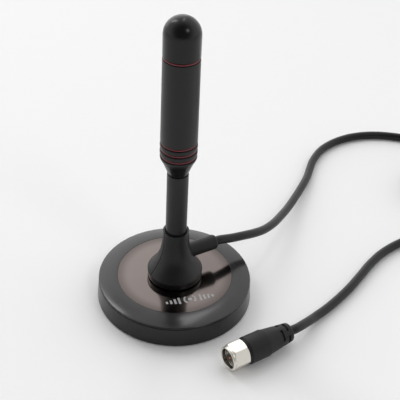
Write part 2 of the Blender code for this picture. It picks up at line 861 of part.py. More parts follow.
def f_plug():
    frame = plug_frame()
    nut_back = NUT_LENGTH - NUT_BACK
    flange_back = nut_back - GAP
    flange_front = flange_back - POST_FLANGE_THICK
    body_front = NUT_LENGTH + GAP
    body_back = body_front + POST_BODY_LENGTH
    boot_back = body_front + PLUG_BOOT_LENGTH
    pieces = [
        coupling_nut(nut_back),
        turned(
            "connector_post",
            [
                (post_bore_r, body_back),
                (post_body_r, body_back),
                (post_body_r, body_front),
                (post_neck_r, body_front),
                (post_neck_r, flange_back),
                (post_flange_r, flange_back),
                (post_flange_r, flange_front),
                (post_bore_r, flange_front),
            ],
            NARROW,
            BRASS,
        ),
        turned(
            "connector_insulator",
            [
                (PIN_R + GAP, body_back),
                (post_bore_r - GAP, body_back),
                (post_bore_r - GAP, flange_front),
                (PIN_R + GAP, flange_front),
            ],
            FINE,
            AMBER,
        ),
        rod("centre_pin", PIN_R, PIN_RECESS, body_back, FINE, (0, 0), COPPER),
        turned(
            "crimp_sleeve",
            [
                (lead_hole_r, body_back + GAP + CRIMP_LENGTH),
                (lead_hole_r + CRIMP_WALL, body_back + GAP + CRIMP_LENGTH),
                (lead_hole_r + CRIMP_WALL, body_back + GAP),
                (lead_hole_r, body_back + GAP),
            ],
            FINE,
            NICKEL,
        ),
        rod("lead_in_plug", LEAD_DIAMETER / 2, body_back + GAP, boot_back, FINE, (0, 0), PVC),
        connector_boot(body_front, body_back, boot_back),
    ]
    for piece in pieces:
        piece.parent = frame


def coupling_nut(nut_back):
    """Hexagon nut with a round lip in front and a bore that the post's flange sits in."""
    nut = rod("coupling_nut", nut_half_flats * 2 / math.sqrt(3), 0, NUT_LENGTH, 6, (0, 0), NICKEL)
    chamfer = nut_corner_r - nut_lip_r
    envelope = turned(
        "keep_nut_outline",
        [
            (0, NUT_LENGTH),
            (nut_lip_r, NUT_LENGTH),
            (nut_corner_r, NUT_LENGTH - chamfer),
            (nut_corner_r, NUT_LIP + chamfer),
            (nut_lip_r, NUT_LIP),
            (nut_lip_r, 0),
            (0, 0),
        ],
        MIDDLE,
    )
    bore = rod("cut_nut_bore", NUT_BORE_R, -1, nut_back, NARROW)
    back_hole = rod("cut_nut_back", post_neck_r + GAP, -1, NUT_LENGTH + 1, NARROW)
    boolean(nut, as_cutter(envelope), "INTERSECT")
    boolean(nut, as_cutter(bore))
    boolean(nut, as_cutter(back_hole))
    for cutter in (envelope, bore, back_hole):
        cutter.parent = nut
    return nut


def connector_boot(front, body_back, back):
    """Moulded boot that grips the post and the crimp sleeve, with two grooves near its cable end."""

    taper_start = front + PLUG_BOOT_STRAIGHT * (back - front)

    def side(distance):
        share = max(0.0, distance - taper_start) / (back - taper_start)
        return plug_boot_r + (plug_boot_end_r - plug_boot_r) * share

    crimp_end = body_back + GAP + CRIMP_LENGTH + GAP
    outline = [
        (lead_hole_r, back),
        (plug_boot_end_r - PLUG_BOOT_CHAMFER, back),
        (side(back), back - PLUG_BOOT_CHAMFER),
    ]
    for place in GROOVE_PLACES:
        near, far = back - place, back - place - GROOVE_WIDTH
        deep = side(near) - GROOVE_DEPTH
        outline += [(side(near), near), (deep, near), (deep, far), (side(near), far)]
    outline += [
        (plug_boot_r, taper_start),
        (plug_boot_r, front),
        (post_body_r + GAP, front),
        (post_body_r + GAP, body_back + GAP),
        (lead_hole_r + CRIMP_WALL + GAP, body_back + GAP),
        (lead_hole_r + CRIMP_WALL + GAP, crimp_end),
        (lead_hole_r, crimp_end),
    ]
    return turned("connector_boot", outline, NARROW, RUBBER)


# ---------------------------------------------------------------- free lead


def coax():
    spacing = 2.4 * LEAD_DIAMETER * MM
    end = NUT_LENGTH + GAP + PLUG_BOOT_LENGTH + GAP
    along = Vector((math.cos(PLUG_HEADING), math.sin(PLUG_HEADING), 0))
    straight_out = [tuple((plug_face + along * (end + run)) * MM) for run in (LEAD_DIAMETER, 0)]
    tube("coax_lead", smooth_points(LEAD_ROUTE, spacing), LEAD_DIAMETER, PVC)
    tube("coax_tail", smooth_points([*TAIL_ROUTE, *straight_out], spacing), LEAD_DIAMETER, PVC)
    low, high = COIL_FLOOR, COIL_FLOOR + COIL_HEIGHT
    inner, outer = COIL_MID_R - COIL_HALF_WIDTH, COIL_MID_R + COIL_HALF_WIDTH
    corner = LEAD_DIAMETER / 4
    ring = turned(
        "coax_coil",
        [
            (outer - corner, high),
            (outer, high - corner),
            (outer, low + corner),
            (outer - corner, low),
            (inner + corner, low),
            (inner, low + corner),
            (inner, high - corner),
            (inner + corner, high),
        ],
        MIDDLE,
        PVC,
    )
    ring.location = Vector((*COIL_CENTRE, 0)) * MM
    coil_tie(inner, outer, high)


def coil_tie(inner, outer, high):
    """Flat band round the bundle of turns, open enough to clear it all round."""
    near = math.sqrt(inner**2 - (TIE_WIDTH / 2) ** 2) - 2 * GAP
    far = outer + GAP
    half = TIE_WIDTH / 2
    top = high + GAP + TIE_THICK
    band = block("coil_tie", (near - TIE_THICK, -half, 0), (far + TIE_THICK, half, top), TIE)
    hole = block("cut_tie", (near, -half - 1, COIL_FLOOR - GAP), (far, half + 1, high + GAP))
    boolean(band, as_cutter(hole))
    for piece in (band, hole):
        piece.location = Vector((*COIL_CENTRE, 0)) * MM
        piece.rotation_euler = (0, 0, TIE_ANGLE)


for old in list(bpy.data.objects):
    bpy.data.objects.remove(old, do_unlink=True)
PARTS = collection("indoor_aerial")
CUTTERS = collection("cutters")

RUBBER = finish("rubber", (0.020, 0.020, 0.021), 0.65)
DARK_GLOSS = finish("dark_gloss_plastic", (0.045, 0.045, 0.048), 0.18)
TAUPE_GLOSS = finish("taupe_gloss_disc", (0.215, 0.185, 0.175), 0.08)
BLACK_GLOSS = finish("black_gloss_plastic", (0.010, 0.010, 0.011), 0.10)
SATIN_DARK = finish("satin_charcoal", (0.030, 0.030, 0.032), 0.42)
RED = finish("red_ring", (0.180, 0.020, 0.028), 0.35)
PVC = finish("black_pvc", (0.028, 0.028, 0.030), 0.45)
NICKEL = finish("nickel", (0.630, 0.600, 0.550), 0.28, 1.0)
STEEL = finish("steel", (0.500, 0.500, 0.500), 0.40, 1.0)
FERRITE = finish("ferrite", (0.050, 0.050, 0.055), 0.60)
COPPER = finish("copper", (0.720, 0.320, 0.180), 0.30, 1.0)
BRASS = finish("brass", (0.700, 0.520, 0.240), 0.35, 1.0)
AMBER = finish("amber_insulator", (0.300, 0.170, 0.080), 0.50)
BOARD_GREEN = finish("circuit_board", (0.030, 0.120, 0.060), 0.40)
TIE = finish("tie_band", (0.030, 0.030, 0.030), 0.60)

base_pad()
base_tray()
magnet_and_yoke()
base_cover()
face_plate()
pedestal_foot()
pedestal_shells()
mast_tube()
cable_boot()
inner_wire()
head_core()
collars_and_rings()
head_sleeve()
dome_cap()
radiator()
f_plug()
coax()
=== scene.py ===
# %% [markdown]
# # An indoor television aerial
#
# The aerial is a fat black radiator head on a short mast. The mast stands on a round magnetic base, and
# a thin coax lead runs from it to a screw-on F plug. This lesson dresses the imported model, piece by
# piece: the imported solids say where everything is, and the fine surfaces are made here.

# %% Load the frame
import json
import math

import bpy
from mathutils import Matrix, Vector


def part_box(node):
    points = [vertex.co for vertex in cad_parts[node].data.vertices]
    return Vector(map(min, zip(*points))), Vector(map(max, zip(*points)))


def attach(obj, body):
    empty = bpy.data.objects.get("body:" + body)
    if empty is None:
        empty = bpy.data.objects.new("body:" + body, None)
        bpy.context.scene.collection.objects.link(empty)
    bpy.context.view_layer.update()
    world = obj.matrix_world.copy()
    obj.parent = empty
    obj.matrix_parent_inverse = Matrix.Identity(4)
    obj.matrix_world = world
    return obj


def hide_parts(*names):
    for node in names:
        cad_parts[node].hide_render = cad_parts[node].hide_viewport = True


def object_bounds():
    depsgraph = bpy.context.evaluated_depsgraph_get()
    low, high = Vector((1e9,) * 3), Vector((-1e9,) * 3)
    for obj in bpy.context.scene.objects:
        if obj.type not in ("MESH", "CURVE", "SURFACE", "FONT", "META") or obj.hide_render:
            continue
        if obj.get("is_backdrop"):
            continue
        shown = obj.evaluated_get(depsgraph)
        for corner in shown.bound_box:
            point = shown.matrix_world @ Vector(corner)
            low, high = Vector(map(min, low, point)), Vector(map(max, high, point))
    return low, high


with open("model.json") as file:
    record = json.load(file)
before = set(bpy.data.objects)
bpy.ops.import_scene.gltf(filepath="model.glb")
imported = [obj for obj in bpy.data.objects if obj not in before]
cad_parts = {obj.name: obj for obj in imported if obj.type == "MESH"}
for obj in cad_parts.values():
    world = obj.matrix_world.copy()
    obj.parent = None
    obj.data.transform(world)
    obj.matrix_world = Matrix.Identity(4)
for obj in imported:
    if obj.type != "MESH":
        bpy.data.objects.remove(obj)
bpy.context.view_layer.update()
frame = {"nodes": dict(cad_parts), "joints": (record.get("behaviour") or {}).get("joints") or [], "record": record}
MM = 0.001
BODY, NUT_BODY = "antenna", "coupling_nut"
print(len(frame["nodes"]), "solids in the frame")


# %% [markdown]
# ## The camera
#
# A product camera stands a bit less than half a metre away, well above the aerial and to the left of
# its front, with a rather long lens. It is held a few degrees off level, which makes the mast lean to the
# right. A track constraint can't do that, so the camera's matrix is made from where it aims, and it is
# rolled about its own axis after that.

# %% Aim the camera
CAMERA_PLACE = Vector((-0.1681, -0.2912, 0.3095))
CAMERA_AIM = Vector((0.0085, -0.0052, 0.0548))
CAMERA_ROLL = math.radians(2.88)
CAMERA_LENS = 87.2

bpy.ops.object.camera_add(location=CAMERA_PLACE)
camera = bpy.context.object
camera.name = "camera"
aim = (CAMERA_AIM - CAMERA_PLACE).to_track_quat("-Z", "Y").to_matrix().to_4x4()
camera.matrix_world = Matrix.Translation(CAMERA_PLACE) @ aim @ Matrix.Rotation(CAMERA_ROLL, 4, "Z")
camera.data.lens = CAMERA_LENS
camera.data.sensor_width = 36
camera.data.clip_start = 0.01
bpy.context.scene.camera = camera
print("camera", round((CAMERA_PLACE - CAMERA_AIM).length, 3), "m from what it looks at")

# %% [markdown]
# ## The free lead
#
# The lead is 1.5 m of 4.2 mm coax. It comes straight out of its rubber boot, sinks to the table under
# its own weight, and wanders off to a neat coil of the spare length, which a strap holds. From there it
# runs back to the plug. A rope simulation would never lay it just where it is wanted, so listed
# points say how it lies where it is free, and a formula winds the turns.

# %% The free runs
LEAD_DIAMETER = 0.0042
LEAD_ROUTE = [
    (0.0214, 0.0000, 0.0230),
    (0.0242, 0.0000, 0.0228),
    (0.0300, 0.0001, 0.0214),
    (0.0370, 0.0006, 0.0199),
    (0.0445, 0.0020, 0.0177),
    (0.0520, 0.0048, 0.0150),
    (0.0605, 0.0095, 0.0121),
    (0.0700, 0.0160, 0.0092),
    (0.0800, 0.0232, 0.0067),
    (0.0900, 0.0310, 0.0047),
    (0.1000, 0.0389, 0.0033),
    (0.1075, 0.0452, 0.0025),
    (0.1137, 0.0513, 0.0022),
    (0.1208, 0.0577, 0.00215),
    (0.1305, 0.0636, 0.00215),
    (0.1425, 0.0667, 0.00215),
    (0.1555, 0.0662, 0.00215),
    (0.1680, 0.0617, 0.00215),
    (0.1795, 0.0533, 0.00215),
    (0.1897, 0.0425, 0.0022),
    (0.1990, 0.0305, 0.0024),
]
TAIL_ROUTE = [
    (0.1545, -0.0292, 0.0051),
    (0.1470, -0.0264, 0.0037),
    (0.1375, -0.0240, 0.0026),
    (0.1265, -0.0227, 0.0022),
    (0.1155, -0.0228, 0.00215),
    (0.1045, -0.0246, 0.00215),
    (0.0940, -0.0284, 0.00215),
    (0.0844, -0.0330, 0.00215),
    (0.0745, -0.0377, 0.00215),
    (0.0647, -0.0415, 0.00215),
    (0.0557, -0.0445, 0.0023),
    (0.0469, -0.0471, 0.0030),
    (0.0408, -0.0495, 0.0047),
]
print("free runs of", len(LEAD_ROUTE), "and", len(TAIL_ROUTE), "points")

# %% [markdown]
# A boot is stiffer than the lead in it, so the lead leaves each boot along the boot's own axis. That is
# why the line starts and ends inside the two boots, with points on their axes. The nut turns on the
# plug's axis, so the nut's joint says where the plug's face is and which way the plug points.

# %% Both ends of the line
LEAD_GAP = 0.0003
LEAD_IN_PLUG = 0.0177
nut_joint = frame["joints"][0]
plug_face = Vector(nut_joint["pos_m"])
plug_axis = Vector(nut_joint["axis"]).normalized()
plug_length = (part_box("connector_boot")[1].x - plug_face.x) / plug_axis.x
boot_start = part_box("cable_boot")[0].x
lead_exit = Vector(LEAD_ROUTE[0])
lead_root = [Vector((boot_start, 0, lead_exit.z)).lerp(lead_exit, share) for share in (0, 0.5)]
from_plug = (LEAD_GAP + LEAD_DIAMETER, LEAD_GAP, -LEAD_IN_PLUG / 2, -LEAD_IN_PLUG)
plug_exits = [plug_face + plug_axis * (plug_length + distance) for distance in from_plug]
print("the plug is", round(plug_length / MM, 1), "mm long, to the end of its boot")

# %% [markdown]
# The spare length is wound as for storage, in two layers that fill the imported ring. Turns lie a diameter
# apart, so the radius shrinks by a diameter a turn on the way in and grows again on the way out, and the
# lead climbs by a diameter in between.

# %% The turns of the coil
COIL_PLAY = 0.0001
COIL_START, COIL_END = math.radians(40), math.radians(-106)
COIL_TURNS = 7
COIL_CLIMB = math.radians(80)
POINTS_PER_TURN = 16
coil_low, coil_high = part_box("coax_coil")
coil_centre = (coil_low + coil_high) / 2
coil_outer = (coil_high.x - coil_low.x) / 2 - LEAD_DIAMETER / 2 - COIL_PLAY
first_layer = coil_low.z + LEAD_DIAMETER / 2 + COIL_PLAY
coil_sweep = COIL_START - COIL_END + COIL_TURNS * 2 * math.pi
coil_turns = coil_sweep / (2 * math.pi)


def coil_point(share):
    """Clockwise: the first layer goes inwards, then the lead climbs, and the second comes back out."""
    angle = COIL_START - coil_sweep * share
    turns_in = coil_turns * min(share, 1 - share)
    radius = coil_outer - LEAD_DIAMETER * turns_in
    climb = min(1, max(0, (share - 0.5) * coil_sweep / COIL_CLIMB + 0.5))
    height = first_layer + LEAD_DIAMETER * climb * climb * (3 - 2 * climb)
    outwards = Vector((math.cos(angle), math.sin(angle), 0))
    return Vector((coil_centre.x, coil_centre.y, height)) + radius * outwards


coil_steps = round(coil_turns * POINTS_PER_TURN)
print("coil of", round(coil_turns, 1), "turns,", round(2 * coil_outer / MM), "mm across")

# %% [markdown]
# One curve goes through all the points. A Catmull-Rom curve passes through each of them without a kink,
# where straight runs and arcs would look like bent wire.

# %% One smooth line
SPAN_PIECES = 6
knots = lead_root + [Vector(point) for point in LEAD_ROUTE]
knots += [coil_point(step / coil_steps) for step in range(coil_steps + 1)]
knots += [Vector(point) for point in TAIL_ROUTE] + plug_exits


def smooth_line(points, pieces):
    """A smooth curve through the points, each span cut into this many pieces."""
    padded = [2 * points[0] - points[1], *points, 2 * points[-1] - points[-2]]
    line = []
    for a, b, c, d in zip(padded, padded[1:], padded[2:], padded[3:]):
        for step in range(pieces):
            t = step / pieces
            bend = (2 * a - 5 * b + 4 * c - d) * t**2 + (3 * b - a - 3 * c + d) * t**3
            line.append(b + ((c - a) * t + bend) / 2)
    return [*line, points[-1]]


lead_line = smooth_line(knots, SPAN_PIECES)
lead_run = sum((b - a).length for a, b in zip(lead_line, lead_line[1:]))
print("the lead's line is", round(lead_run, 4), "m long")

# %% [markdown]
# The jacket is the curve's own round bevel, which keeps its section the same in every bend. It is turned
# into a mesh, because a curve's box is larger than what it shows, and the sizes are read from boxes.

# %% The jacket round the line
lead_curve = bpy.data.curves.new("coax_lead_full", "CURVE")
lead_curve.dimensions = "3D"
lead_curve.bevel_depth = LEAD_DIAMETER / 2
lead_curve.bevel_resolution = 6
lead_curve.use_fill_caps = True
spline = lead_curve.splines.new("POLY")
spline.points.add(len(lead_line) - 1)
for place, point in zip(spline.points, lead_line):
    place.co = (*point, 1)
spline.use_smooth = True
lead = bpy.data.objects.new("coax_lead_full", lead_curve)
bpy.context.scene.collection.objects.link(lead)
bpy.ops.object.select_all(action="DESELECT")
bpy.context.view_layer.objects.active = lead
lead.select_set(True)
bpy.ops.object.convert(target="MESH")
bpy.ops.object.shade_smooth_by_angle(angle=math.radians(40))
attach(lead, BODY)
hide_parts("coax_lead", "coax_coil", "coax_tail", "lead_in_boot", "lead_in_plug")
print("jacket", LEAD_DIAMETER / MM, "mm thick, from the pedestal's boot into the plug's")

# %% [markdown]
# ## The studio
#
# The aerial stands on a plain pale floor, wide enough to fill every view from above. The view transform
# is Standard, so that white stays white.

# %% Floor
FLOOR_SIZE = 6
bpy.context.scene.view_settings.view_transform = "Standard"
bpy.ops.mesh.primitive_plane_add(size=FLOOR_SIZE)
floor = bpy.context.object
floor.name = "floor"
floor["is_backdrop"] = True
print("floor", FLOOR_SIZE, "m wide")

# %% [markdown]
# Shiny black things show nothing but what stands around them, so the aerial stands in a white tent. The
# tent is dark where the camera is, as a real one is, and that gives the head its black front and its
# pale edges. A wide window behind is brighter than the rest, and it shades off across the disc from left
# to right. Panels could be built for this, but two soft gradients on the world make no noise and are
# easy to aim: each is a dot product with a direction.

# %% The tent
TENT_LIGHT, CAMERA_SIDE_LIGHT = 1.38, 0.14
DARK_FROM, DARK_TO = math.radians(80), math.radians(25)
WINDOW_HEADING, WINDOW_RISE = math.radians(83), math.radians(15)
WINDOW_EDGE, WINDOW_CORE = math.radians(36), math.radians(26)
OFF_WINDOW, IN_WINDOW = 0.84, 1.3
world = bpy.data.worlds.new("tent")
bpy.context.scene.world = world
world.use_nodes = True
nodes, links = world.node_tree.nodes, world.node_tree.links
direction = nodes.new("ShaderNodeTexCoord")


def glow_towards(aim, edge, core, outside, inside):
    """A light that changes smoothly from one strength to another within these angles of a direction."""
    towards = nodes.new("ShaderNodeVectorMath")
    towards.operation = "DOT_PRODUCT"
    towards.inputs[1].default_value = aim.normalized()
    glow = nodes.new("ShaderNodeMapRange")
    glow.interpolation_type = "SMOOTHSTEP"
    glow.inputs["From Min"].default_value = math.cos(edge)
    glow.inputs["From Max"].default_value = math.cos(core)
    glow.inputs["To Min"].default_value = outside
    glow.inputs["To Max"].default_value = inside
    links.new(direction.outputs["Generated"], towards.inputs[0])
    links.new(towards.outputs["Value"], glow.inputs["Value"])
    return glow.outputs["Result"]


window = Vector((math.cos(WINDOW_HEADING), math.sin(WINDOW_HEADING), math.tan(WINDOW_RISE)))
tent_glow = glow_towards(CAMERA_PLACE - CAMERA_AIM, DARK_FROM, DARK_TO, TENT_LIGHT, CAMERA_SIDE_LIGHT)
window_glow = glow_towards(window, WINDOW_EDGE, WINDOW_CORE, OFF_WINDOW, IN_WINDOW)
both = nodes.new("ShaderNodeMath")
both.operation = "MULTIPLY"
links.new(tent_glow, both.inputs[0])
links.new(window_glow, both.inputs[1])
links.new(both.outputs["Value"], nodes["Background"].inputs["Strength"])
nodes["Background"].inputs["Color"].default_value = (1, 1, 1, 1)
print("tent", TENT_LIGHT, "bright, and", CAMERA_SIDE_LIGHT, "round the camera")

# %% [markdown]
# Two strips of light behind and a small box beside the camera put the three soft spots on the dome, and
# the right strip also lights the front of the cover's rim. They are area lights rather than glowing
# planes, because they make less noise and add no mesh to the scene.

# %% Soft boxes
def soft_box(name, place, size, power):
    bpy.ops.object.light_add(type="AREA", location=place)
    made = bpy.context.object
    made.name = name
    made.data.shape = "RECTANGLE"
    made.data.size, made.data.size_y = size
    made.data.energy = power
    made.rotation_euler = (CAMERA_AIM - Vector(place)).to_track_quat("-Z", "Y").to_euler()


soft_box("left_strip", (-0.20, 0.72, 0.80), (0.16, 0.50), 1.4)
soft_box("right_strip", (0.34, 0.42, 1.00), (0.13, 0.45), 0.55)
soft_box("camera_box", (0.165, -0.736, 0.84), (0.24, 0.24), 0.9)

# %% [markdown]
# ## The finishes
#
# Nearly every surface here is moulded plastic or rubber. What tells them apart is how blurred their
# reflections are and how coarse their grain is, so one function makes them all: a fine noise raises the
# grain, and a broad one mottles the colour and the roughness, as handling and uneven moulds do. The
# patterns are measured in object coordinates, so a grain is the same size on every piece.

# %% A moulded or plated finish
MICRON = 1e-6
DULL_SHINE = 0.3
GRAIN_STRENGTH = 0.6
NOISE_LOW, NOISE_HIGH = 0.3, 0.7


def finish(name, colour, roughness, grain, relief, metallic=0.0, blotch=9 * MM, mottle=0.12, dull=False):
    """Grain and blotch are sizes in metres, and relief is how deep the grain looks, in metres."""
    made = bpy.data.materials.new(name)
    made.use_nodes = True
    nodes, links = made.node_tree.nodes, made.node_tree.links
    shader = nodes["Principled BSDF"]
    shader.inputs["Metallic"].default_value = metallic
    if dull:
        shader.inputs["Specular IOR Level"].default_value = DULL_SHINE
    where = nodes.new("ShaderNodeTexCoord")
    fine = nodes.new("ShaderNodeTexNoise")
    fine.inputs["Scale"].default_value = 1 / grain
    fine.inputs["Detail"].default_value = 4
    broad = nodes.new("ShaderNodeTexNoise")
    broad.inputs["Scale"].default_value = 1 / blotch
    broad.inputs["Detail"].default_value = 3
    raised = nodes.new("ShaderNodeBump")
    raised.inputs["Strength"].default_value = GRAIN_STRENGTH
    raised.inputs["Distance"].default_value = relief
    spread = nodes.new("ShaderNodeMapRange")
    spread.inputs["From Min"].default_value = NOISE_LOW
    spread.inputs["From Max"].default_value = NOISE_HIGH
    spread.inputs["To Min"].default_value = roughness * (1 - mottle)
    spread.inputs["To Max"].default_value = roughness * (1 + mottle)
    tint = nodes.new("ShaderNodeMix")
    tint.data_type = "RGBA"
    tint.inputs["A"].default_value = (*(channel * (1 - mottle) for channel in colour), 1)
    tint.inputs["B"].default_value = (*(channel * (1 + mottle) for channel in colour), 1)
    for noise in (fine, broad):
        links.new(where.outputs["Object"], noise.inputs["Vector"])
    links.new(fine.outputs["Fac"], raised.inputs["Height"])
    links.new(raised.outputs["Normal"], shader.inputs["Normal"])
    links.new(broad.outputs["Fac"], spread.inputs["Value"])
    links.new(spread.outputs["Result"], shader.inputs["Roughness"])
    links.new(broad.outputs["Fac"], tint.inputs["Factor"])
    links.new(tint.outputs["Result"], shader.inputs["Base Color"])
    return made


print("grain shows at", GRAIN_STRENGTH, "of its depth")

# %% [markdown]
# Every slot of the record gets a finish of its own. The columns are the slot, its colour, its roughness,
# the size of its grain in millimetres and how deep the grain looks in microns. Rubber and the soft blacks
# are dull, which means that they reflect less than a hard plastic does.

# %% Finishes for the slots
FINISHES = {
    name: finish(name, colour, roughness, grain * MM, relief * MICRON, **more)
    for name, colour, roughness, grain, relief, more in (
        ("rubber", (0.011, 0.011, 0.011), 0.50, 0.22, 12, {"dull": True}),
        ("dark_gloss", (0.016, 0.015, 0.016), 0.24, 1.6, 2, {"dull": True}),
        ("face_disc", (0.188, 0.160, 0.151), 0.12, 2.5, 1, {"metallic": 1, "mottle": 0.05}),
        ("black_gloss", (0.006, 0.006, 0.006), 0.20, 2.0, 1, {"dull": True}),
        ("satin_charcoal", (0.012, 0.012, 0.012), 0.36, 0.16, 3, {"dull": True}),
        ("red_trim", (0.15, 0.014, 0.020), 0.30, 0.5, 2, {}),
        ("black_pvc", (0.011, 0.011, 0.012), 0.38, 0.35, 6, {"blotch": 14 * MM, "dull": True}),
        ("nickel", (0.80, 0.77, 0.70), 0.33, 0.5, 3, {"metallic": 1, "mottle": 0.1}),
        ("steel", (0.50, 0.50, 0.50), 0.38, 0.3, 4, {"metallic": 1}),
        ("ferrite", (0.050, 0.050, 0.055), 0.62, 0.3, 20, {}),
        ("copper", (0.72, 0.34, 0.20), 0.28, 0.4, 3, {"metallic": 1}),
        ("brass", (0.30, 0.23, 0.14), 0.42, 0.4, 3, {"metallic": 1}),
        ("insulator", (0.08, 0.05, 0.03), 0.5, 0.5, 4, {}),
        ("circuit_board", (0.03, 0.12, 0.06), 0.38, 0.8, 15, {}),
        ("tie_band", (0.015, 0.015, 0.016), 0.85, 0.4, 120, {}),
    )
}
print(len(FINISHES), "finishes for the slots")

# %% [markdown]
# Two finishes have shade painted into their colour: the disc is painted darker near its rim, and the nut
# is painted darker in its bore, where shade falls. Both are round, so the painted shade goes by the
# distance from an axis. A second material would do it too, but with a hard edge.

# %% Painted shade on the disc and in the nut's bore
# Where the painted shade starts and ends, and how much of the colour is left in it.
DISC_FULL, DISC_DARK, DISC_SHADE = 21 * MM, 26.5 * MM, 0.62
BORE_FULL, BORE_DARK, BORE_SHADE = 4.72 * MM, 4.55 * MM, 0.45


def paint_shade(material, point, axis, full, dark, shade):
    """Paints shade into the colour, from one distance from the axis through this point to another."""
    nodes, links = material.node_tree.nodes, material.node_tree.links
    where = nodes.new("ShaderNodeTexCoord")
    offset = nodes.new("ShaderNodeVectorMath")
    offset.operation = "SUBTRACT"
    offset.inputs[1].default_value = point
    across = nodes.new("ShaderNodeVectorMath")
    across.operation = "CROSS_PRODUCT"
    across.inputs[1].default_value = axis
    reach = nodes.new("ShaderNodeVectorMath")
    reach.operation = "LENGTH"
    falloff = nodes.new("ShaderNodeMapRange")
    falloff.interpolation_type = "SMOOTHSTEP"
    falloff.inputs["From Min"].default_value = full
    falloff.inputs["From Max"].default_value = dark
    falloff.inputs["To Min"].default_value = 1
    falloff.inputs["To Max"].default_value = shade
    tinted = nodes.new("ShaderNodeVectorMath")
    tinted.operation = "SCALE"
    base = nodes["Principled BSDF"].inputs["Base Color"]
    links.new(where.outputs["Object"], offset.inputs[0])
    links.new(offset.outputs["Vector"], across.inputs[0])
    links.new(across.outputs["Vector"], reach.inputs[0])
    links.new(reach.outputs["Value"], falloff.inputs["Value"])
    links.new(base.links[0].from_socket, tinted.inputs[0])
    links.new(falloff.outputs["Result"], tinted.inputs["Scale"])
    links.new(tinted.outputs["Vector"], base)


# Painted shade: the disc darkens towards its rim, and the nut's plating darkens in its bore.
paint_shade(FINISHES["face_disc"], (0, 0, 0), (0, 0, 1), DISC_FULL, DISC_DARK, DISC_SHADE)
paint_shade(FINISHES["nickel"], plug_face, plug_axis, BORE_FULL, BORE_DARK, BORE_SHADE)
print("the disc's rim shows", DISC_SHADE, "of its colour, and the nut's bore", BORE_SHADE)

# %% [markdown]
# The silver print, the glossy cover and the foot ring differ a little from the slots that they are in,
# and the floor has none. The cover's gloss is its own, and its colour is a little lighter than the tray's,
# which is painted light on its up-facing ring.

# %% Finishes of single pieces
SILVER_PRINT = finish("silver_print", (0.42, 0.42, 0.42), 0.40, 0.2 * MM, 2 * MICRON, 0.2)
# Painted light: the cover's colour is lighter than the tray's, to brighten its up-facing ring.
COVER_GLOSS_AND_PAINTED_LIGHT = finish("cover_gloss_and_painted_light", (0.022, 0.021, 0.022), 0.19, 1.6 * MM, 2 * MICRON)
FOOT_BLACK = finish("foot_black", (0.006, 0.006, 0.006), 0.34, 2.0 * MM, 1 * MICRON, dull=True)
PALE_FLOOR = finish("pale_floor", (0.96, 0.96, 0.96), 0.7, 3 * MM, 1 * MICRON, blotch=0.4, mottle=0.01)
floor.data.materials.append(PALE_FLOOR)
lead.data.materials.append(FINISHES["black_pvc"])
print("the floor and the lead are finished")

# %% [markdown]
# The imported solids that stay, such as the magnet, the screws and the circuit board, are out of sight, so
# they need no finer shape. They only take the finish of the slot that the record gives them.

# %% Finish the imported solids
slot_of = {part["node"]: part["material_slot"] for part in frame["record"]["subparts"]}
for node, solid in frame["nodes"].items():
    solid.data.materials.clear()
    solid.data.materials.append(FINISHES[slot_of[node]])
print("finished", len(slot_of), "solids")

# %% [markdown]
# ## Turned pieces
#
# Almost everything on this aerial is round, so almost everything is made as on a lathe. A profile is
# drawn by extruding one vertex from corner to corner, and it is spun round the axis. Joined cylinders and
# cones would need a boolean at every step, and a spun profile has clean rings of faces instead.

# %% Draw and spin a profile
TURN_STEPS = 96
WIDE_STEPS = 160


def spun(name, outline, steps=TURN_STEPS, angle=2 * math.pi, hollow=True):
    """A body of revolution about Z. A hollow outline goes all the way round the wall it draws."""
    bpy.ops.mesh.primitive_plane_add(size=MM)
    piece = bpy.context.object
    piece.name = piece.data.name = name
    bpy.ops.object.mode_set(mode="EDIT")
    bpy.ops.mesh.merge(type="CENTER")
    corners = [Vector((radius, 0, height)) for radius, height in outline]
    bpy.ops.transform.translate(value=corners[0])
    corners += corners[:1] if hollow else []
    for here, there in zip(corners, corners[1:]):
        bpy.ops.mesh.extrude_region_move(TRANSFORM_OT_translate={"value": there - here})
    bpy.ops.mesh.select_all(action="SELECT")
    bpy.ops.mesh.remove_doubles(threshold=MICRON)
    bpy.ops.mesh.spin(steps=steps, angle=angle, center=(0, 0, 0), axis=(0, 0, 1))
    bpy.ops.mesh.select_all(action="SELECT")
    bpy.ops.mesh.remove_doubles(threshold=MICRON)
    bpy.ops.mesh.fill_holes(sides=0)
    bpy.ops.mesh.normals_make_consistent(inside=False)
    bpy.ops.object.mode_set(mode="OBJECT")
    return piece


def arc(radius, height, size, start, end, steps):
    """Corners of a rounding about this centre, from one angle to another in degrees."""
    angles = [math.radians(start + (end - start) * step / steps) for step in range(steps + 1)]
    return [(radius + size * math.cos(angle), height + size * math.sin(angle)) for angle in angles]


print("turned pieces have", TURN_STEPS, "sides, and wide ones", WIDE_STEPS)

# %% [markdown]
# No moulding has a perfectly sharp edge, and the fine line of light along an edge is what makes it look
# real. A bevel takes the edge off, and weighted normals keep the flat faces flat beside it.

# %% Soften the edges
SHARP_ANGLE, SMOOTH_ANGLE = math.radians(28), math.radians(32)


def change(piece, kind, **settings):
    """Adds a modifier with these settings and applies it."""
    bpy.context.view_layer.objects.active = piece
    bpy.ops.object.modifier_add(type=kind)
    step = piece.modifiers[-1]
    for setting, value in settings.items():
        setattr(step, setting, value)
    bpy.ops.object.modifier_apply(modifier=step.name)


def soften(piece, edge):
    """Takes the sharp edges off, and shades what is left smooth."""
    if edge:
        change(piece, "BEVEL", width=edge, segments=3, limit_method="ANGLE", angle_limit=SHARP_ANGLE)
    bpy.ops.object.select_all(action="DESELECT")
    piece.select_set(True)
    bpy.context.view_layer.objects.active = piece
    bpy.ops.object.shade_smooth_by_angle(angle=SMOOTH_ANGLE)
    change(piece, "WEIGHTED_NORMAL", keep_sharp=True)


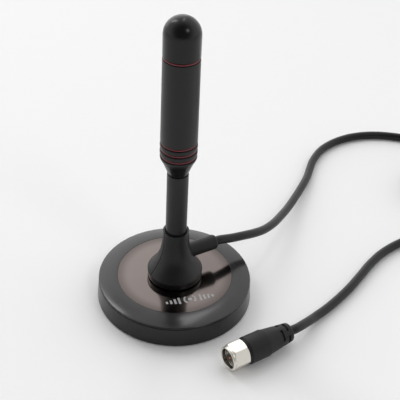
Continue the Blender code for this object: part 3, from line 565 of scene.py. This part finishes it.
print("edges sharper than", round(math.degrees(SHARP_ANGLE)), "degrees are bevelled")

# %% [markdown]
# A finished piece is put in its place, and then it is told what it moves with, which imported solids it
# stands for, and what it is made of. Most turned pieces stand for one solid, so one function does it all.

# %% Put in place and settle
def put(piece, place):
    """Moves and turns the piece, with its place left in its mesh."""
    bpy.ops.object.select_all(action="DESELECT")
    piece.select_set(True)
    bpy.context.view_layer.objects.active = piece
    piece.matrix_world = place
    bpy.ops.object.transform_apply(location=True, rotation=True, scale=True)
    return piece


def settle(piece, slot, *replaced, body=BODY):
    """Says what the piece moves with, which solids it stands for and what it is finished in."""
    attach(piece, body)
    if replaced:
        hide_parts(*replaced)
    piece.data.materials.clear()
    piece.data.materials.append(FINISHES[slot])
    print(piece.name, len(piece.data.polygons), "faces")


def turned(node, outline, edge=0.15 * MM, steps=TURN_STEPS, hollow=True, place=None, body=BODY):
    """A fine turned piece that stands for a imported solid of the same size."""
    piece = spun(node + "_fine", outline, steps, hollow=hollow)
    soften(piece, edge)
    if place:
        put(piece, place)
    settle(piece, slot_of[node], node, body=body)
    return piece


print("the fine pieces move with", BODY, "or with", NUT_BODY)

# %% [markdown]
# Screw holes and the boot's hole are drilled as on a bench, with a round cutter that is thrown away. The
# boolean is applied at once, so that the softening after it takes the edge off the hole as well.

# %% Drill and cut
THROUGH = 20 * MM


def drill(piece, radius, place, depth):
    """Drills along the place's own Z, half of the depth to each side of it."""
    bpy.ops.mesh.primitive_cylinder_add(vertices=32, radius=radius, depth=depth)
    bit = bpy.context.object
    put(bit, place)
    carve(piece, bit)


def carve(piece, cutter, operation="DIFFERENCE"):
    change(piece, "BOOLEAN", object=cutter, operation=operation)
    bpy.data.objects.remove(cutter)


print("holes are cut up to", THROUGH / MM, "mm deep")

# %% [markdown]
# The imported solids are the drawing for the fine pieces: tops, feet, radii and screw places are read from
# their boxes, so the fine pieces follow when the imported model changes.

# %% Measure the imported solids
def top_of(node):
    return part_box(node)[1].z


def foot_of(node):
    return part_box(node)[0].z


def radius_of(node):
    """Outer radius of a solid that is round about the mast."""
    low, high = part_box(node)
    return (high.x - low.x) / 2


def screw_places(kind):
    """The middle of each screw of this kind."""
    boxes = [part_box(node) for node in sorted(frame["nodes"]) if node.startswith(kind)]
    return [Matrix.Translation((low + high) / 2) for low, high in boxes]


print("the aerial is", round(top_of("dome_cap") / MM, 1), "mm high")

# %% [markdown]
# ## The base
#
# The base is a shallow tray under a slightly crowned cover, and it hides a magnet. It stands on a rubber
# pad with ring grooves for a better grip. Cut grooves would need booleans, so they are in the outline.

# %% Rubber pad
pad_r = radius_of("base_pad")
pad_top = top_of("base_pad")
PAD_GROOVES, GROOVE_WIDE, GROOVE_DEEP = 4, 1.2 * MM, 0.4 * MM
pad_outline = [(0, pad_top), (pad_r, pad_top), (pad_r, 0)]
for groove in range(PAD_GROOVES, 0, -1):
    outer = pad_r * (groove + 0.5) / (PAD_GROOVES + 1)
    pad_outline += [(outer, 0), (outer, GROOVE_DEEP)]
    pad_outline += [(outer - GROOVE_WIDE, GROOVE_DEEP), (outer - GROOVE_WIDE, 0)]
turned("base_pad", [*pad_outline, (0, 0)], 0.1 * MM, WIDE_STEPS, hollow=False)

# %% [markdown]
# The tray is pressed on from below and screwed to the cover through its ledge. The dark line round the
# rim is the joint between the two. The wall leans a little, as a moulding does to leave its mould.

# %% Tray
CLEAR = 0.3 * MM
SCREW_HOLE = 1.2 * MM
TRAY_WALL, TRAY_LEDGE, TRAY_FLOOR = 2.0 * MM, 5.0 * MM, 1.8 * MM
DRAFT = 0.6 * MM
tray_r, tray_top, tray_foot = radius_of("base_tray"), top_of("base_tray"), foot_of("base_tray")
rim_r = tray_r - DRAFT
inner_r = rim_r - TRAY_WALL
ledge_r = inner_r - TRAY_LEDGE
ledge_foot = pad_top + CLEAR
tray = spun(
    "base_tray_fine",
    [
        (rim_r, tray_top),
        (tray_r, tray_foot),
        (inner_r, tray_foot),
        (inner_r, ledge_foot),
        (ledge_r, ledge_foot),
        (ledge_r, ledge_foot + TRAY_FLOOR),
        (inner_r, ledge_foot + TRAY_FLOOR),
        (inner_r, tray_top),
    ],
    WIDE_STEPS,
)
soften(tray, 0.3 * MM)
for place in screw_places("tray_screw"):
    drill(tray, SCREW_HOLE, place, THROUGH)
settle(tray, "dark_gloss", "base_tray")

# %% [markdown]
# The cover's top is level round the disc and falls away to the rim, faster and faster, as a parabola
# does. That crown is what spreads the light of the studio into a soft band.

# %% Crowned cover
COVER_PLATE, COVER_CROWN, COVER_EDGE = 1.6 * MM, 1.2 * MM, 0.6 * MM
YOKE_HOLE, COVER_DRILL = 4.0 * MM, 6.0 * MM
CROWN_STEPS = 14
face_r, face_top, face_foot = radius_of("face_plate"), top_of("face_plate"), foot_of("face_plate")
recess_r = face_r + CLEAR
cover_rim = tray_top + CLEAR
plate_foot = face_top - COVER_CROWN - COVER_PLATE
skirt_foot = plate_foot - TRAY_FLOOR
crown_r = rim_r - COVER_EDGE / 2


def crown(share):
    """A point of the cover's top: level at the disc, and falling away to the rim."""
    return recess_r + (crown_r - recess_r) * share, face_top - COVER_CROWN * share**2


cover = spun(
    "base_cover_fine",
    [crown(step / CROWN_STEPS) for step in range(CROWN_STEPS + 1)]
    + [
        (rim_r, face_top - COVER_CROWN - COVER_EDGE / 2),
        (rim_r, cover_rim),
        (inner_r - CLEAR, cover_rim),
        (inner_r - CLEAR, skirt_foot),
        (inner_r - 4 * CLEAR, skirt_foot),
        (inner_r - 4 * CLEAR, plate_foot),
        (YOKE_HOLE, plate_foot),
        (YOKE_HOLE, face_foot - CLEAR),
        (recess_r, face_foot - CLEAR),
    ],
    WIDE_STEPS,
)
soften(cover, 0.12 * MM)
for place in screw_places("pedestal_screw"):
    drill(cover, SCREW_HOLE, place, COVER_DRILL)
settle(cover, "dark_gloss", "base_cover")
# The cover's colour is a little lighter than the tray's: painted light on its up-facing ring.
cover.data.materials[0] = COVER_GLOSS_AND_PAINTED_LIGHT

# %% [markdown]
# The disc let into the cover is a thin plate, lacquered to look like smoked metal: it mirrors the mast.
# It is turned as a flat ring, because a spigot goes down through its middle.

# %% Mirror disc
SPIGOT_INSET = 1.5 * MM
DISC_GAP = 0.05 * MM
foot_r = radius_of("pedestal_foot")
foot_spigot_r = foot_r - SPIGOT_INSET
disc_r = recess_r - DISC_GAP
disc_bore = foot_spigot_r + CLEAR
turned(
    "face_plate",
    [(disc_r, face_top), (disc_r, face_foot), (disc_bore, face_foot), (disc_bore, face_top)],
    0.1 * MM,
    WIDE_STEPS,
)

# %% [markdown]
# The black ring under the pedestal has that spigot below, and above it a pilot that goes up into the
# shells. It is one moulding, so it is one outline, and its shoulders are arcs, because a bevel is too fine.

# %% Foot ring
SHELL_WALL = 1.4 * MM
FOOT_ROUND = 0.7 * MM
shell_foot = foot_of("pedestal_front_shell")
pilot_top = top_of("pedestal_foot")
pedestal_r = -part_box("pedestal_front_shell")[0].x
pilot_r = pedestal_r - SHELL_WALL - 2 * CLEAR
foot = spun(
    "pedestal_foot_fine",
    [
        (0, pilot_top),
        (pilot_r, pilot_top),
        (pilot_r, shell_foot - CLEAR),
        *arc(foot_r - FOOT_ROUND / 2, shell_foot - CLEAR - FOOT_ROUND / 2, FOOT_ROUND / 2, 90, 0, 5),
        *arc(foot_r - FOOT_ROUND, face_top + CLEAR + FOOT_ROUND, FOOT_ROUND, 0, -90, 6),
        (foot_spigot_r, face_top + CLEAR),
        (foot_spigot_r, face_foot),
        (0, face_foot),
    ],
    hollow=False,
)
soften(foot, 0)
for place in screw_places("pedestal_screw"):
    drill(foot, SCREW_HOLE, place, THROUGH)
settle(foot, "black_gloss", "pedestal_foot")
foot.data.materials[0] = FOOT_BLACK

# %% [markdown]
# ## The mark on the disc
#
# The maker prints a word on the front of the disc. Here it is a plain pictogram for broadcasting, a dot
# between arcs with bars that fall away on each side, printed in silver. A texture would blur when seen
# from near, so each mark is a thin flat body that stands a tenth of a millimetre above the disc.

# %% Dot and arcs
PRINT_THICK = 0.09 * MM
DOT_R = 0.95 * MM
ARC_R, ARC_WIDE, ARC_SPAN = 2.1 * MM, 0.8 * MM, math.radians(96)


def sector(name, inner, outer, low, high, span, middle, steps=24):
    """A flat piece of a ring, with its middle at this angle. The spin goes clockwise from its far end."""
    outline = [(outer, high), (outer, low), (inner, low), (inner, high)]
    piece = spun(name, outline, steps, span)
    return put(piece, Matrix.Rotation(middle + span / 2, 4, "Z"))


dot = [(0, PRINT_THICK), (DOT_R, PRINT_THICK), (DOT_R, 0), (0, 0)]
marks = [spun("broadcast_mark", dot, 32, hollow=False)]
for side in (0, math.pi):
    marks.append(sector("arc", ARC_R, ARC_R + ARC_WIDE, 0, PRINT_THICK, ARC_SPAN, side))
print("a dot and", len(marks) - 1, "arcs")

# %% [markdown]
# The bars are boxes with a fine bevel. The print is one thing, so its marks are joined to one piece, and
# that is turned a little as it is laid on the disc.

# %% Bars, and the whole mark
BAR_WIDE, BAR_PITCH, FIRST_BAR = 1.0 * MM, 1.9 * MM, 4.9 * MM
BAR_HEIGHTS = (4.0 * MM, 3.1 * MM, 2.3 * MM, 1.5 * MM)
MARK_PLACE, MARK_TILT = Vector((-2.4 * MM, -18.5 * MM, 0)), math.radians(-13.9)
for side in (-1, 1):
    for place, tall in enumerate(BAR_HEIGHTS):
        bpy.ops.mesh.primitive_cube_add(size=1)
        bar = bpy.context.object
        size = Matrix.Diagonal((BAR_WIDE, tall, PRINT_THICK, 1))
        across = side * (FIRST_BAR + place * BAR_PITCH)
        put(bar, Matrix.Translation((across, 0, PRINT_THICK / 2)) @ size)
        change(bar, "BEVEL", width=BAR_WIDE / 20, segments=2, affect="EDGES", limit_method="NONE")
        marks.append(bar)
bpy.ops.object.select_all(action="DESELECT")
for piece in marks:
    piece.select_set(True)
mark = marks[0]
bpy.context.view_layer.objects.active = mark
bpy.ops.object.join()
mark_place = Matrix.Translation(MARK_PLACE + Vector((0, 0, face_top)))
put(mark, mark_place @ Matrix.Rotation(MARK_TILT, 4, "Z"))
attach(mark, BODY)
mark.data.materials.clear()
mark.data.materials.append(SILVER_PRINT)
print("mark", len(mark.data.polygons), "faces")

# %% [markdown]
# ## The pedestal
#
# The pedestal is a trumpet in two halves, front and back, which close on the mast and on the boot of
# the lead. Its side is wide at the foot and nearly straight at the collar. One exponential curve draws
# that with two numbers, where a free curve would need many points.

# %% Outline of the trumpet
COLLAR_WALL = 0.75 * MM
MAST_FLANGE = 0.6 * MM
CAVITY_RISE = 1.3 * MM
FLARE_RATE, FLARE_POWER = 4.36, 1.25
FLARE_STEPS, STEP_POWER = 36, 1.2
mast_r = radius_of("mast_tube") - MAST_FLANGE
mast_foot, mast_top = foot_of("mast_tube"), top_of("mast_tube")
collar_top = top_of("pedestal_front_shell")
collar_r = mast_r + CLEAR + COLLAR_WALL
cavity_top = mast_foot + CAVITY_RISE


def flare(height):
    """Radius of the trumpet at this height."""
    share = (height - shell_foot) / (collar_top - shell_foot)
    return collar_r + (pedestal_r - collar_r) * math.exp(-FLARE_RATE * share**FLARE_POWER)


shares = [(step / FLARE_STEPS) ** STEP_POWER for step in range(FLARE_STEPS + 1)]
heights = [shell_foot + (collar_top - shell_foot) * share for share in shares]
cavity_r = radius_of("mast_tube") + CLEAR
low_heights = [height for height in heights if height < cavity_top]
trumpet = [(flare(height), height) for height in reversed(heights)]
trumpet += [(max(flare(height) - SHELL_WALL, cavity_r), height) for height in low_heights]
trumpet += [(cavity_r, cavity_top), (mast_r + CLEAR, cavity_top), (mast_r + CLEAR, collar_top)]
print("trumpet", round(pedestal_r / MM, 1), "mm in radius at its foot")

# %% [markdown]
# Both halves are spun whole, drilled for the boot and then cut apart, so that they are sure to meet. A
# small bevel along the cut makes the seam read as a fine dark line.

# %% Two half shells
BOOT_FLANGE, BOOT_HOLE_END = 0.7 * MM, 4 * MM
SEAM = 0.3 * MM
boot_low, boot_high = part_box("cable_boot")
boot_z = (boot_low.z + boot_high.z) / 2
boot_r = (boot_high.z - boot_low.z) / 2 - BOOT_FLANGE
along_x = Matrix.Translation((0, 0, boot_z)) @ Matrix.Rotation(math.pi / 2, 4, "Y")
boot_way = Matrix.Translation((pedestal_r, 0, boot_z)) @ Matrix.Rotation(math.pi / 2, 4, "Y")

for node, side in (("pedestal_front_shell", -1), ("pedestal_rear_shell", 1)):
    shell = spun(node + "_fine", trumpet)
    drill(shell, boot_r + CLEAR / 2, boot_way, 2 * (pedestal_r - BOOT_HOLE_END))
    bpy.ops.object.select_all(action="DESELECT")
    bpy.context.view_layer.objects.active = shell
    bpy.ops.object.mode_set(mode="EDIT")
    bpy.ops.mesh.select_all(action="SELECT")
    bpy.ops.mesh.bisect(
        plane_co=(0, side * SEAM / 2, 0), plane_no=(0, -side, 0), use_fill=True, clear_outer=True
    )
    bpy.ops.mesh.select_all(action="SELECT")
    bpy.ops.mesh.remove_doubles(threshold=MICRON)
    bpy.ops.mesh.normals_make_consistent(inside=False)
    bpy.ops.object.mode_set(mode="OBJECT")
    soften(shell, 0.12 * MM)
    settle(shell, "satin_charcoal", node)

# %% [markdown]
# ## The mast and the boot of the lead
#
# The mast is a plain drawn tube, with a flange at its foot that the shells hold.

# %% Mast
MAST_WALL, MAST_FLANGE_THICK = 0.7 * MM, 1.0 * MM
turned(
    "mast_tube",
    [
        (mast_r, mast_top),
        (mast_r, mast_foot + MAST_FLANGE_THICK),
        (mast_r + MAST_FLANGE, mast_foot + MAST_FLANGE_THICK),
        (mast_r + MAST_FLANGE, mast_foot),
        (mast_r - MAST_WALL, mast_foot),
        (mast_r - MAST_WALL, mast_top),
    ],
)

# %% [markdown]
# The boot is a thick rubber sleeve with a chamfered end, held by a flange inside the shells. It is turned
# upright, as all the rest is, and then laid along X.

# %% Boot of the lead
BOOT_CHAMFER, BOOT_FLANGE_THICK = 1.2 * MM, 1.2 * MM
lead_hole = LEAD_DIAMETER / 2 + 0.03 * MM
boot_mouth = boot_high.x
turned(
    "cable_boot",
    [
        (lead_hole, boot_mouth),
        (boot_r - BOOT_CHAMFER / 2, boot_mouth),
        (boot_r, boot_mouth - BOOT_CHAMFER),
        (boot_r, boot_start + BOOT_FLANGE_THICK),
        (boot_r + BOOT_FLANGE, boot_start + BOOT_FLANGE_THICK),
        (boot_r + BOOT_FLANGE, boot_start),
        (lead_hole, boot_start),
    ],
    0.25 * MM,
    place=along_x,
)

# %% [markdown]
# ## The head
#
# The head is a stack threaded on one core: a glossy cone, a satin taper, then red rings with ribs
# between them, a long sleeve that thins a little towards the top, one more red ring, and a domed cap.
# Each is its own turned piece with its own softened edge, so the joints show as on the real one. The
# core comes first, with a spigot for the mast, the cone, and the tube that the rest is threaded on.

# %% Core
NECK_STEP, NECK_HEIGHT = 0.22 * MM, 0.2 * MM
CORE_WALL, CONE_STEP, CORE_FLOOR = 1.0 * MM, 0.75 * MM, 2.0 * MM
WIRE_HOLE = 1.0 * MM
core_foot, core_top = foot_of("head_core"), top_of("head_core")
cone_r = radius_of("head_core")
core_r = cone_r - CONE_STEP
cone_foot = mast_top + CLEAR + NECK_HEIGHT
taper_foot, taper_top = foot_of("taper_collar"), top_of("taper_collar")
cone_top = taper_foot - CLEAR
neck_r = mast_r - NECK_STEP
spigot_in_mast = mast_r - MAST_WALL - CLEAR
turned(
    "head_core",
    [
        (core_r, core_top),
        (core_r, cone_top),
        (cone_r, cone_top),
        (neck_r, cone_foot),
        (neck_r, mast_top + CLEAR),
        (spigot_in_mast, mast_top + CLEAR),
        (spigot_in_mast, core_foot),
        (WIRE_HOLE, core_foot),
        (WIRE_HOLE, cone_top + CORE_FLOOR),
        (core_r - CORE_WALL, cone_top + CORE_FLOOR),
        (core_r - CORE_WALL, core_top),
    ],
)

# %% [markdown]
# The taper leads from the cone to the full width of the head. Its side is an arc that ends upright,
# because a straight one would show an edge below the first ring.

# %% Taper
TAPER_ROUND = 2.2 * MM
head_r = radius_of("taper_collar")
ring_bore = core_r + CLEAR
lean = math.degrees(math.acos(1 - (head_r - cone_r) / (2 * TAPER_ROUND)))
turned(
    "taper_collar",
    [
        (head_r, taper_top),
        *arc(head_r - TAPER_ROUND, taper_top - 0.3 * MM, TAPER_ROUND, 0, -lean, 8),
        (cone_r + CLEAR, taper_foot),
        (ring_bore, taper_foot),
        (ring_bore, taper_top),
    ],
    0.08 * MM,
)

# %% [markdown]
# The ribs bulge like barrels, so that each catches a line of light, and a parabola gives the bulge. The
# rings are plain bands with softened edges.

# %% Ribs and red rings
RIB_STEPS = 8
for node in ("rib_collar_1", "rib_collar_2"):
    low, high, bulge = foot_of(node), top_of(node), radius_of(node)
    side = []
    for step in range(RIB_STEPS + 1):
        share = step / RIB_STEPS
        side.append((bulge - (bulge - head_r) * (2 * share - 1) ** 2, high + (low - high) * share))
    turned(node, [*side, (ring_bore, low), (ring_bore, high)], 0.18 * MM)
for ring in range(1, 5):
    node = f"red_ring_{ring}"
    low, high, outer = foot_of(node), top_of(node), radius_of(node)
    turned(node, [(outer, high), (outer, low), (ring_bore, low), (ring_bore, high)], 0.2 * MM)

# %% [markdown]
# The sleeve is a plain tube. The cap is a half sphere on a short cylinder, with a spigot that goes down
# into the sleeve.

# %% Sleeve and domed cap
SLEEVE_WALL = 1.1 * MM
CAP_WALL, CAP_SPIGOT = 1.2 * MM, 7.0 * MM
cap_r, cap_pole = radius_of("dome_cap"), top_of("dome_cap")
sleeve_foot, sleeve_top = foot_of("head_sleeve"), top_of("head_sleeve")
turned(
    "head_sleeve",
    [
        (cap_r, sleeve_top),
        (radius_of("head_sleeve"), sleeve_foot),
        (ring_bore, sleeve_foot),
        (ring_bore, core_top + CLEAR),
        (cap_r - SLEEVE_WALL, core_top + CLEAR),
        (cap_r - SLEEVE_WALL, sleeve_top),
    ],
    0.22 * MM,
)
cap_foot = foot_of("dome_cap") + CAP_SPIGOT
dome_middle = cap_pole - cap_r
cap_spigot_r = cap_r - SLEEVE_WALL - CLEAR
turned(
    "dome_cap",
    [
        (0, cap_pole),
        *arc(0, dome_middle, cap_r, 90, 0, 24)[1:],
        (cap_r, cap_foot),
        (cap_spigot_r, cap_foot),
        (cap_spigot_r, cap_foot - CAP_SPIGOT),
        (cap_spigot_r - CAP_WALL, cap_foot - CAP_SPIGOT),
        (cap_spigot_r - CAP_WALL, cap_foot),
        *arc(0, dome_middle, cap_r - CAP_WALL, 0, 90, 12)[:-1],
        (0, cap_pole - CAP_WALL),
    ],
    0.15 * MM,
    hollow=False,
)

# %% [markdown]
# ## The F plug
#
# The plug lies on its side, so its pieces are turned upright at the origin and then laid along its
# axis. The nut is a turned body cut down to a hexagon: that way its corners keep the round chamfers
# that a real nut gets from the lathe. Its thread is fine, so it is turned as rings.

# %% Coupling nut
plug_place = Matrix.Translation(plug_face) @ plug_axis.to_track_quat("Z", "Y").to_matrix().to_4x4()
NUT_LENGTH, NUT_BORE, NUT_WALL, NUT_BACK = 8.3 * MM, 4.45 * MM, 1.05 * MM, 1.5 * MM
NUT_LIP, LIP_STEP, CORNER_CUT = 1.2 * MM, 0.05 * MM, 0.15 * MM
LIP_ROUND, MOUTH_ROUND = 0.6 * MM, 0.4 * MM
CHAMFER_SLOPE = 0.7
THREAD_PITCH, THREAD_DEEP = 0.79 * MM, 0.25 * MM
THREAD_SHAPE = ((0.1, THREAD_DEEP), (0.5, 0), (0.65, 0))  # shares of a pitch, and the depth there
BACK_HOLE = 3.6 * MM
flats_r = NUT_BORE + NUT_WALL
hexagon_r = flats_r / math.cos(math.pi / 6)
corner_r = hexagon_r - CORNER_CUT
lip_r = flats_r - LIP_STEP
chamfer = CHAMFER_SLOPE * (corner_r - lip_r)
bore_end = NUT_LENGTH - NUT_BACK
threads = int((bore_end - NUT_LIP) / THREAD_PITCH)
thread_line = [
    (NUT_BORE + deep, bore_end - (turn + share) * THREAD_PITCH)
    for turn in range(threads)
    for share, deep in THREAD_SHAPE
]
nut = spun(
    "coupling_nut_fine",
    [
        (BACK_HOLE, NUT_LENGTH),
        (lip_r, NUT_LENGTH),
        (corner_r, NUT_LENGTH - chamfer),
        (corner_r, NUT_LIP + chamfer),
        (lip_r, NUT_LIP),
        *arc(lip_r - LIP_ROUND, LIP_ROUND, LIP_ROUND, 0, -90, 6),
        *arc(NUT_BORE + MOUTH_ROUND, MOUTH_ROUND, MOUTH_ROUND, 270, 180, 4),
        *reversed(thread_line),
        (BACK_HOLE, bore_end),
    ],
)
bpy.ops.mesh.primitive_cylinder_add(vertices=6, radius=hexagon_r, depth=NUT_LENGTH * 1.2)
hexagon = bpy.context.object
put(hexagon, Matrix.Translation((0, 0, NUT_LENGTH / 2)) @ Matrix.Rotation(math.pi / 6, 4, "Z"))
carve(nut, hexagon, "INTERSECT")
soften(nut, 0.12 * MM)
put(nut, plug_place)
settle(nut, "nickel", "coupling_nut", body=NUT_BODY)

# %% [markdown]
# In the nut is the post, whose flange the nut turns behind. It holds the insulator, and the insulator
# holds the pin.

# %% Post, insulator and pin
POST_PLAY, FLANGE_STEP, FLANGE_THICK = 0.35 * MM, 0.8 * MM, 0.9 * MM
POST_WALL, POST_SHOULDER, BODY_LENGTH = 0.7 * MM, 1.5 * MM, 6.0 * MM
PIN_R, PIN_RECESS = 0.45 * MM, 0.7 * MM
flange_back = bore_end - CLEAR
flange_front = flange_back - FLANGE_THICK
flange_r = NUT_BORE - POST_PLAY
post_neck = flange_r - FLANGE_STEP
post_bore = post_neck - POST_WALL
body_front = NUT_LENGTH + CLEAR
body_back = body_front + BODY_LENGTH
post = turned(
    "connector_post",
    [
        (post_bore, body_back),
        (post_neck + POST_SHOULDER, body_back),
        (post_neck + POST_SHOULDER, body_front),
        (post_neck, body_front),
        (post_neck, flange_back),
        (flange_r, flange_back),
        (flange_r, flange_front),
        (post_bore, flange_front),
    ],
    place=plug_place,
)
held_r = post_bore - CLEAR
tube = [(PIN_R, body_back), (held_r, body_back), (held_r, flange_front), (PIN_R, flange_front)]
insulator = turned("connector_insulator", tube, place=plug_place)
pin_side = [(PIN_R, body_back), (PIN_R, PIN_RECESS + PIN_R), (PIN_R / 3, PIN_RECESS)]
pin_outline = [(0, body_back), *pin_side, (0, PIN_RECESS)]
pin = turned("centre_pin", pin_outline, 0.06 * MM, 48, hollow=False, place=plug_place)

# %% [markdown]
# The boot behind the nut is moulded over the crimp and the lead. It is a straight grip behind a small
# step, and then it tapers to a rounded end, so it is turned in one outline like the rest.

# %% Boot of the plug
PLUG_BOOT_WALL, PLUG_END_WALL = 1.1 * MM, 1.95 * MM
PLUG_BOOT_STRAIGHT = 0.42
PLUG_BOOT_STEP = 0.45 * MM
END_ROUND = 1.0 * MM
CRIMP_WALL, CRIMP_LENGTH = 0.8 * MM, 5.0 * MM
crimp_r = LEAD_DIAMETER / 2 + 2 * CLEAR + CRIMP_WALL
crimp_end = body_back + 2 * CLEAR + CRIMP_LENGTH
plug_boot_r = post_neck + POST_SHOULDER + CLEAR + PLUG_BOOT_WALL
end_r = LEAD_DIAMETER / 2 + CLEAR + PLUG_END_WALL
taper_start = body_front + PLUG_BOOT_STRAIGHT * (plug_length - body_front)
boot = spun(
    "connector_boot_fine",
    [
        (lead_hole, plug_length),
        *arc(end_r - END_ROUND, plug_length - END_ROUND, END_ROUND, 90, 5, 6),
        (plug_boot_r - 0.25 * MM, taper_start + 0.5 * MM),
        (plug_boot_r, taper_start),
        (plug_boot_r, body_front + 0.9 * MM),
        (plug_boot_r - PLUG_BOOT_STEP, body_front + 0.5 * MM),
        (plug_boot_r - PLUG_BOOT_STEP, body_front),
        (post_neck + POST_SHOULDER, body_front),
        (post_neck + POST_SHOULDER, body_back + CLEAR),
        (crimp_r, body_back + CLEAR),
        (crimp_r, crimp_end),
        (lead_hole, crimp_end),
    ],
)
print("boot", round(2 * plug_boot_r / MM, 1), "mm across, and", round(2 * end_r / MM, 1), "at its end")

# %% [markdown]
# The boot is soft, and it bends with the lead thanks to two rows of slots near its end. Each slot is a
# short flat sector that is carved out, so that a bridge of rubber stays between one slot and the next.

# %% Slots of the boot
SLOT_WIDE, SLOT_DEEP = 1.1 * MM, 0.8 * MM
SLOT_ROWS = ((2.3 * MM, 0), (5.5 * MM, math.pi / 4))
SLOTS_A_ROW, SLOT_SPAN = 4, math.radians(58)


def boot_side(distance):
    """Radius of the boot at this distance from the plug's face."""
    share = max(0, distance - taper_start) / (plug_length - taper_start)
    return plug_boot_r + (end_r - plug_boot_r) * share


for from_end, start in SLOT_ROWS:
    far = plug_length - from_end
    deep = boot_side(far) - SLOT_DEEP
    for slot in range(SLOTS_A_ROW):
        middle = start + slot * 2 * math.pi / SLOTS_A_ROW
        carve(boot, sector("slot", deep, plug_boot_r * 1.2, far - SLOT_WIDE, far, SLOT_SPAN, middle))
soften(boot, 0.12 * MM)
put(boot, plug_place)
settle(boot, "rubber", "connector_boot")

# %% [markdown]
# ## The tie round the coil
#
# A strap of hook-and-loop tape holds the spare turns. It is a loop of tape, and a box whose two open
# ends are taken away is such a loop, of the right size from the start.

# %% Loop of tape
TIE_WIDTH, TIE_THICK, TIE_ANGLE = 8.0 * MM, 0.7 * MM, math.radians(150)
STRAP_SLACK = 1.2 * MM
tie_low, tie_high = foot_of("coil_tie"), top_of("coil_tie")
wire_inner = coil_outer - LEAD_DIAMETER * coil_turns / 2 - LEAD_DIAMETER / 2
strap_near = wire_inner - STRAP_SLACK
strap_far = coil_outer + LEAD_DIAMETER / 2 + CLEAR + TIE_THICK
strap_size = (strap_far - strap_near, TIE_WIDTH, tie_high - tie_low)
bpy.ops.mesh.primitive_cube_add(size=1)
strap = bpy.context.object
strap.name = strap.data.name = "coil_tie_fine"
put(strap, Matrix.Diagonal((*strap_size, 1)))
bpy.context.tool_settings.mesh_select_mode = (False, False, True)
bpy.ops.object.mode_set(mode="EDIT")
bpy.ops.mesh.select_all(action="DESELECT")
bpy.ops.object.mode_set(mode="OBJECT")
for face in strap.data.polygons:
    face.select = abs(face.normal.y) > 0.9
bpy.ops.object.mode_set(mode="EDIT")
bpy.ops.mesh.delete(type="FACE")
print("strap", round(strap_size[0] / MM, 1), "by", round(strap_size[2] / MM, 1), "mm")

# %% [markdown]
# Tape doesn't fold sharply, so the four edges along its width are rounded. Then it gets its thickness,
# inwards, and it is laid across the coil.

# %% Round and thicken the strap
STRAP_ROUND = 2.2 * MM
bpy.context.tool_settings.mesh_select_mode = (False, True, False)
bpy.ops.mesh.select_all(action="DESELECT")
bpy.ops.object.mode_set(mode="OBJECT")
for edge in strap.data.edges:
    start, end = (strap.data.vertices[i].co for i in edge.vertices)
    edge.select = abs(start.y - end.y) > TIE_WIDTH / 2
bpy.ops.object.mode_set(mode="EDIT")
bpy.ops.mesh.bevel(offset=STRAP_ROUND, segments=8)
bpy.ops.object.mode_set(mode="OBJECT")
bpy.context.tool_settings.mesh_select_mode = (True, False, False)
change(strap, "SOLIDIFY", thickness=TIE_THICK, offset=-1)
soften(strap, 0.15 * MM)
strap_middle = Vector(((strap_near + strap_far) / 2, 0, (tie_low + tie_high) / 2))
turn_round = Matrix.Translation((coil_centre.x, coil_centre.y, 0)) @ Matrix.Rotation(TIE_ANGLE, 4, "Z")
put(strap, turn_round @ Matrix.Translation(strap_middle))
settle(strap, "tie_band", "coil_tie")

# %% [markdown]
# With the plug and the strap made, the box round everything that is shown is measured.

# %% Finish
low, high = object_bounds()
